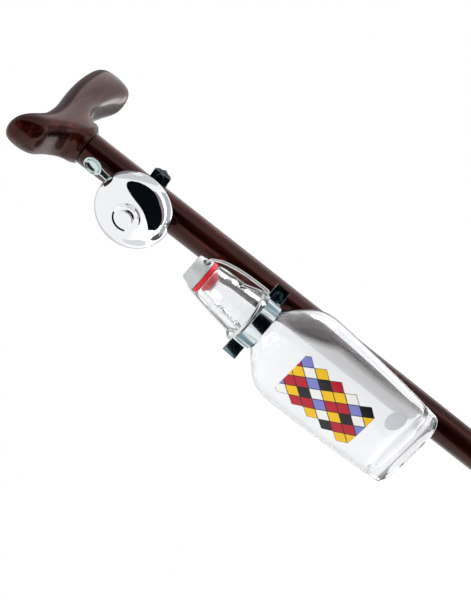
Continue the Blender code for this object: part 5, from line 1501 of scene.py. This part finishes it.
@dataclass
class Studio:
    """The white studio: the camera of the photograph, the floor, the sky and the lamps."""

    target: tuple[float, float, float] = (-18.0 * MM, 0.0, 746.1 * MM)
    distance: float = 650.0 * MM
    elevation: float = 4.5
    roll: float = 52.0
    lens: float = 60.66
    sky: float = 0.42
    floor_glow: float = 0.72
    lamp_size: float = 0.6

    def axes(self) -> tuple[Array, Array, Array]:
        """The picture's right and up and the way back to the camera: level axes turned by the roll."""
        tilt, roll = np.radians(self.elevation), np.radians(self.roll)
        level = np.array([1.0, 0.0, 0.0])
        upright = np.array([0.0, np.sin(tilt), np.cos(tilt)])
        right = np.cos(roll) * level - np.sin(roll) * upright
        up = np.sin(roll) * level + np.cos(roll) * upright
        return right, up, np.cross(right, up)

    def build(self) -> None:
        """Sets the view transform and builds the camera, the floor, the sky and the lamps."""
        bpy.context.scene.view_settings.view_transform = "Standard"
        right, up, back = self.axes()
        place = np.eye(4)
        place[:3, :3] = np.column_stack([right, up, back])
        place[:3, 3] = np.array(self.target) + back * self.distance
        camera = bpy.data.cameras.new("camera")
        camera.lens, camera.sensor_width = self.lens, 36.0
        camera.clip_start, camera.clip_end = 0.01, 50.0
        holder = linked("camera", camera)
        holder.matrix_world = Matrix(place.tolist())
        bpy.context.scene.camera = holder
        self.build_floor()
        for card in CARDS:
            self.card(*card)
        self.build_sky()
        self.build_lamps()

    def seen(self, tree: bpy.types.NodeTree) -> bpy.types.NodeSocket:
        """1 on rays from the camera, off a mirror or through glass, 0 on all others."""
        path = add_node(tree, "LightPath").outputs
        seen = path["Is Camera Ray"]
        for kind in ("Is Glossy Ray", "Is Transmission Ray"):
            seen = add_node(tree, "Math", {0: seen, 1: path[kind]}, operation="MAXIMUM").outputs[0]
        return seen

    def prop(self, name: str, grid: Array) -> tuple[bpy.types.Object, bpy.types.NodeTree]:
        """A surface that belongs to the studio, with an empty material of its own."""
        made = linked(name, make_mesh(name, [grid]))
        paper = bpy.data.materials.new(f"studio_{name}")
        paper.use_nodes = True
        paper.node_tree.nodes.clear()
        made.data.materials.append(paper)
        return made, paper.node_tree

    def build_floor(self) -> None:
        """A white floor 6 m wide that keeps the shadow and glows a little to the eye."""
        x, y = np.meshgrid(np.linspace(-3, 3, 9), np.linspace(-3, 3, 9))
        tree = self.prop("floor", np.stack([x, y, -0.5 * MM + 0 * x], axis=-1))[1]
        level = add_node(tree, "Math", {0: self.seen(tree), 1: self.floor_glow}, operation="MULTIPLY")
        glow = add_node(tree, "Emission", {"Color": WHITE, "Strength": level.outputs[0]})
        paper = add_node(tree, "BsdfDiffuse", {"Color": (0.85, 0.85, 0.85, 1.0)})
        total = add_node(tree, "AddShader", {0: paper.outputs[0], 1: glow.outputs[0]})
        add_node(tree, "OutputMaterial", {"Surface": total.outputs[0]})

    def card(self, name: str, away: float, colour: tuple[float, float, float], rows: tuple) -> None:
        """A patch of a sphere round the object that only reflections see.

        At a height b and a bearing a its point lies towards right sin a cos b + up sin b +
        back cos a cos b, between a left and a right bearing that change with the height.

        Args:
            name: the card's name.
            away: the sphere's radius.
            colour: its light, where 1 is white.
            rows: (height, left bearing, right bearing) in degrees, from the lowest up.
        """
        height, left, other = np.radians(smooth_line(np.array(rows, float), 49)).T
        bearing = left[:, None] + (other - left)[:, None] * np.linspace(0, 1, 33)
        level = height[:, None] + 0 * bearing
        parts = (np.sin(bearing) * np.cos(level), np.sin(level), np.cos(bearing) * np.cos(level))
        grid = sum(part[..., None] * axis for part, axis in zip(parts, self.axes()))
        made, tree = self.prop(name, np.array(self.target) + away * grid)
        made.visible_camera = made.visible_diffuse = made.visible_shadow = made.visible_transmission = False
        light = add_node(tree, "Emission", {"Color": (*colour, 1.0), "Strength": 1.0})
        add_node(tree, "OutputMaterial", {"Surface": light.outputs[0]})

    def build_sky(self) -> None:
        """A white sky, full to the eye and softer as light."""
        world = bpy.data.worlds.new("studio_sky")
        bpy.context.scene.world = world
        world.use_nodes = True
        tree = world.node_tree
        shade = tree.nodes["Background"].inputs
        shade["Color"].default_value = WHITE
        tree.links.new(spread(tree, self.seen(tree), 0.0, 1.0, self.sky, 1.0), shade["Strength"])

    def build_lamps(self) -> None:
        """A strong soft lamp behind the object on the upper right, a weaker one in front on the left."""
        right, up, back = self.axes()
        for name, offset, power in (
            ("rear_lamp", right * 0.5 + up * 0.75 - back * 0.3, 22.0),
            ("front_lamp", back * 0.65 - right * 0.65 - up * 0.1, 6.0),
        ):
            lamp = bpy.data.lights.new(name, "AREA")
            lamp.size, lamp.energy = self.lamp_size, power
            holder = linked(name, lamp)
            holder.visible_glossy = False
            away = offset / np.linalg.norm(offset)
            side = np.cross((0.0, 0.0, 1.0), away)
            side /= np.linalg.norm(side)
            place = np.eye(4)
            place[:3, :3] = np.column_stack([side, np.cross(away, side), away])
            place[:3, 3] = np.array(self.target) + offset
            holder.matrix_world = Matrix(place.tolist())


def main() -> None:
    """Builds the stick's sub-assemblies in order, then the studio."""
    logging.basicConfig(level=logging.INFO, format="%(name)s: %(message)s")
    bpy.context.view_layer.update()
    for assembly in (Stick(), Bell(), Flask(), Closure(), NeckClamp()):
        assembly.build()
        LOG.info("%s is built", type(assembly).__name__)
    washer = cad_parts["ferrule_washer"].data.materials
    washer.clear()
    washer.append(ZINC.material())
    Studio().build()


if __name__ == "__main__":
    main()
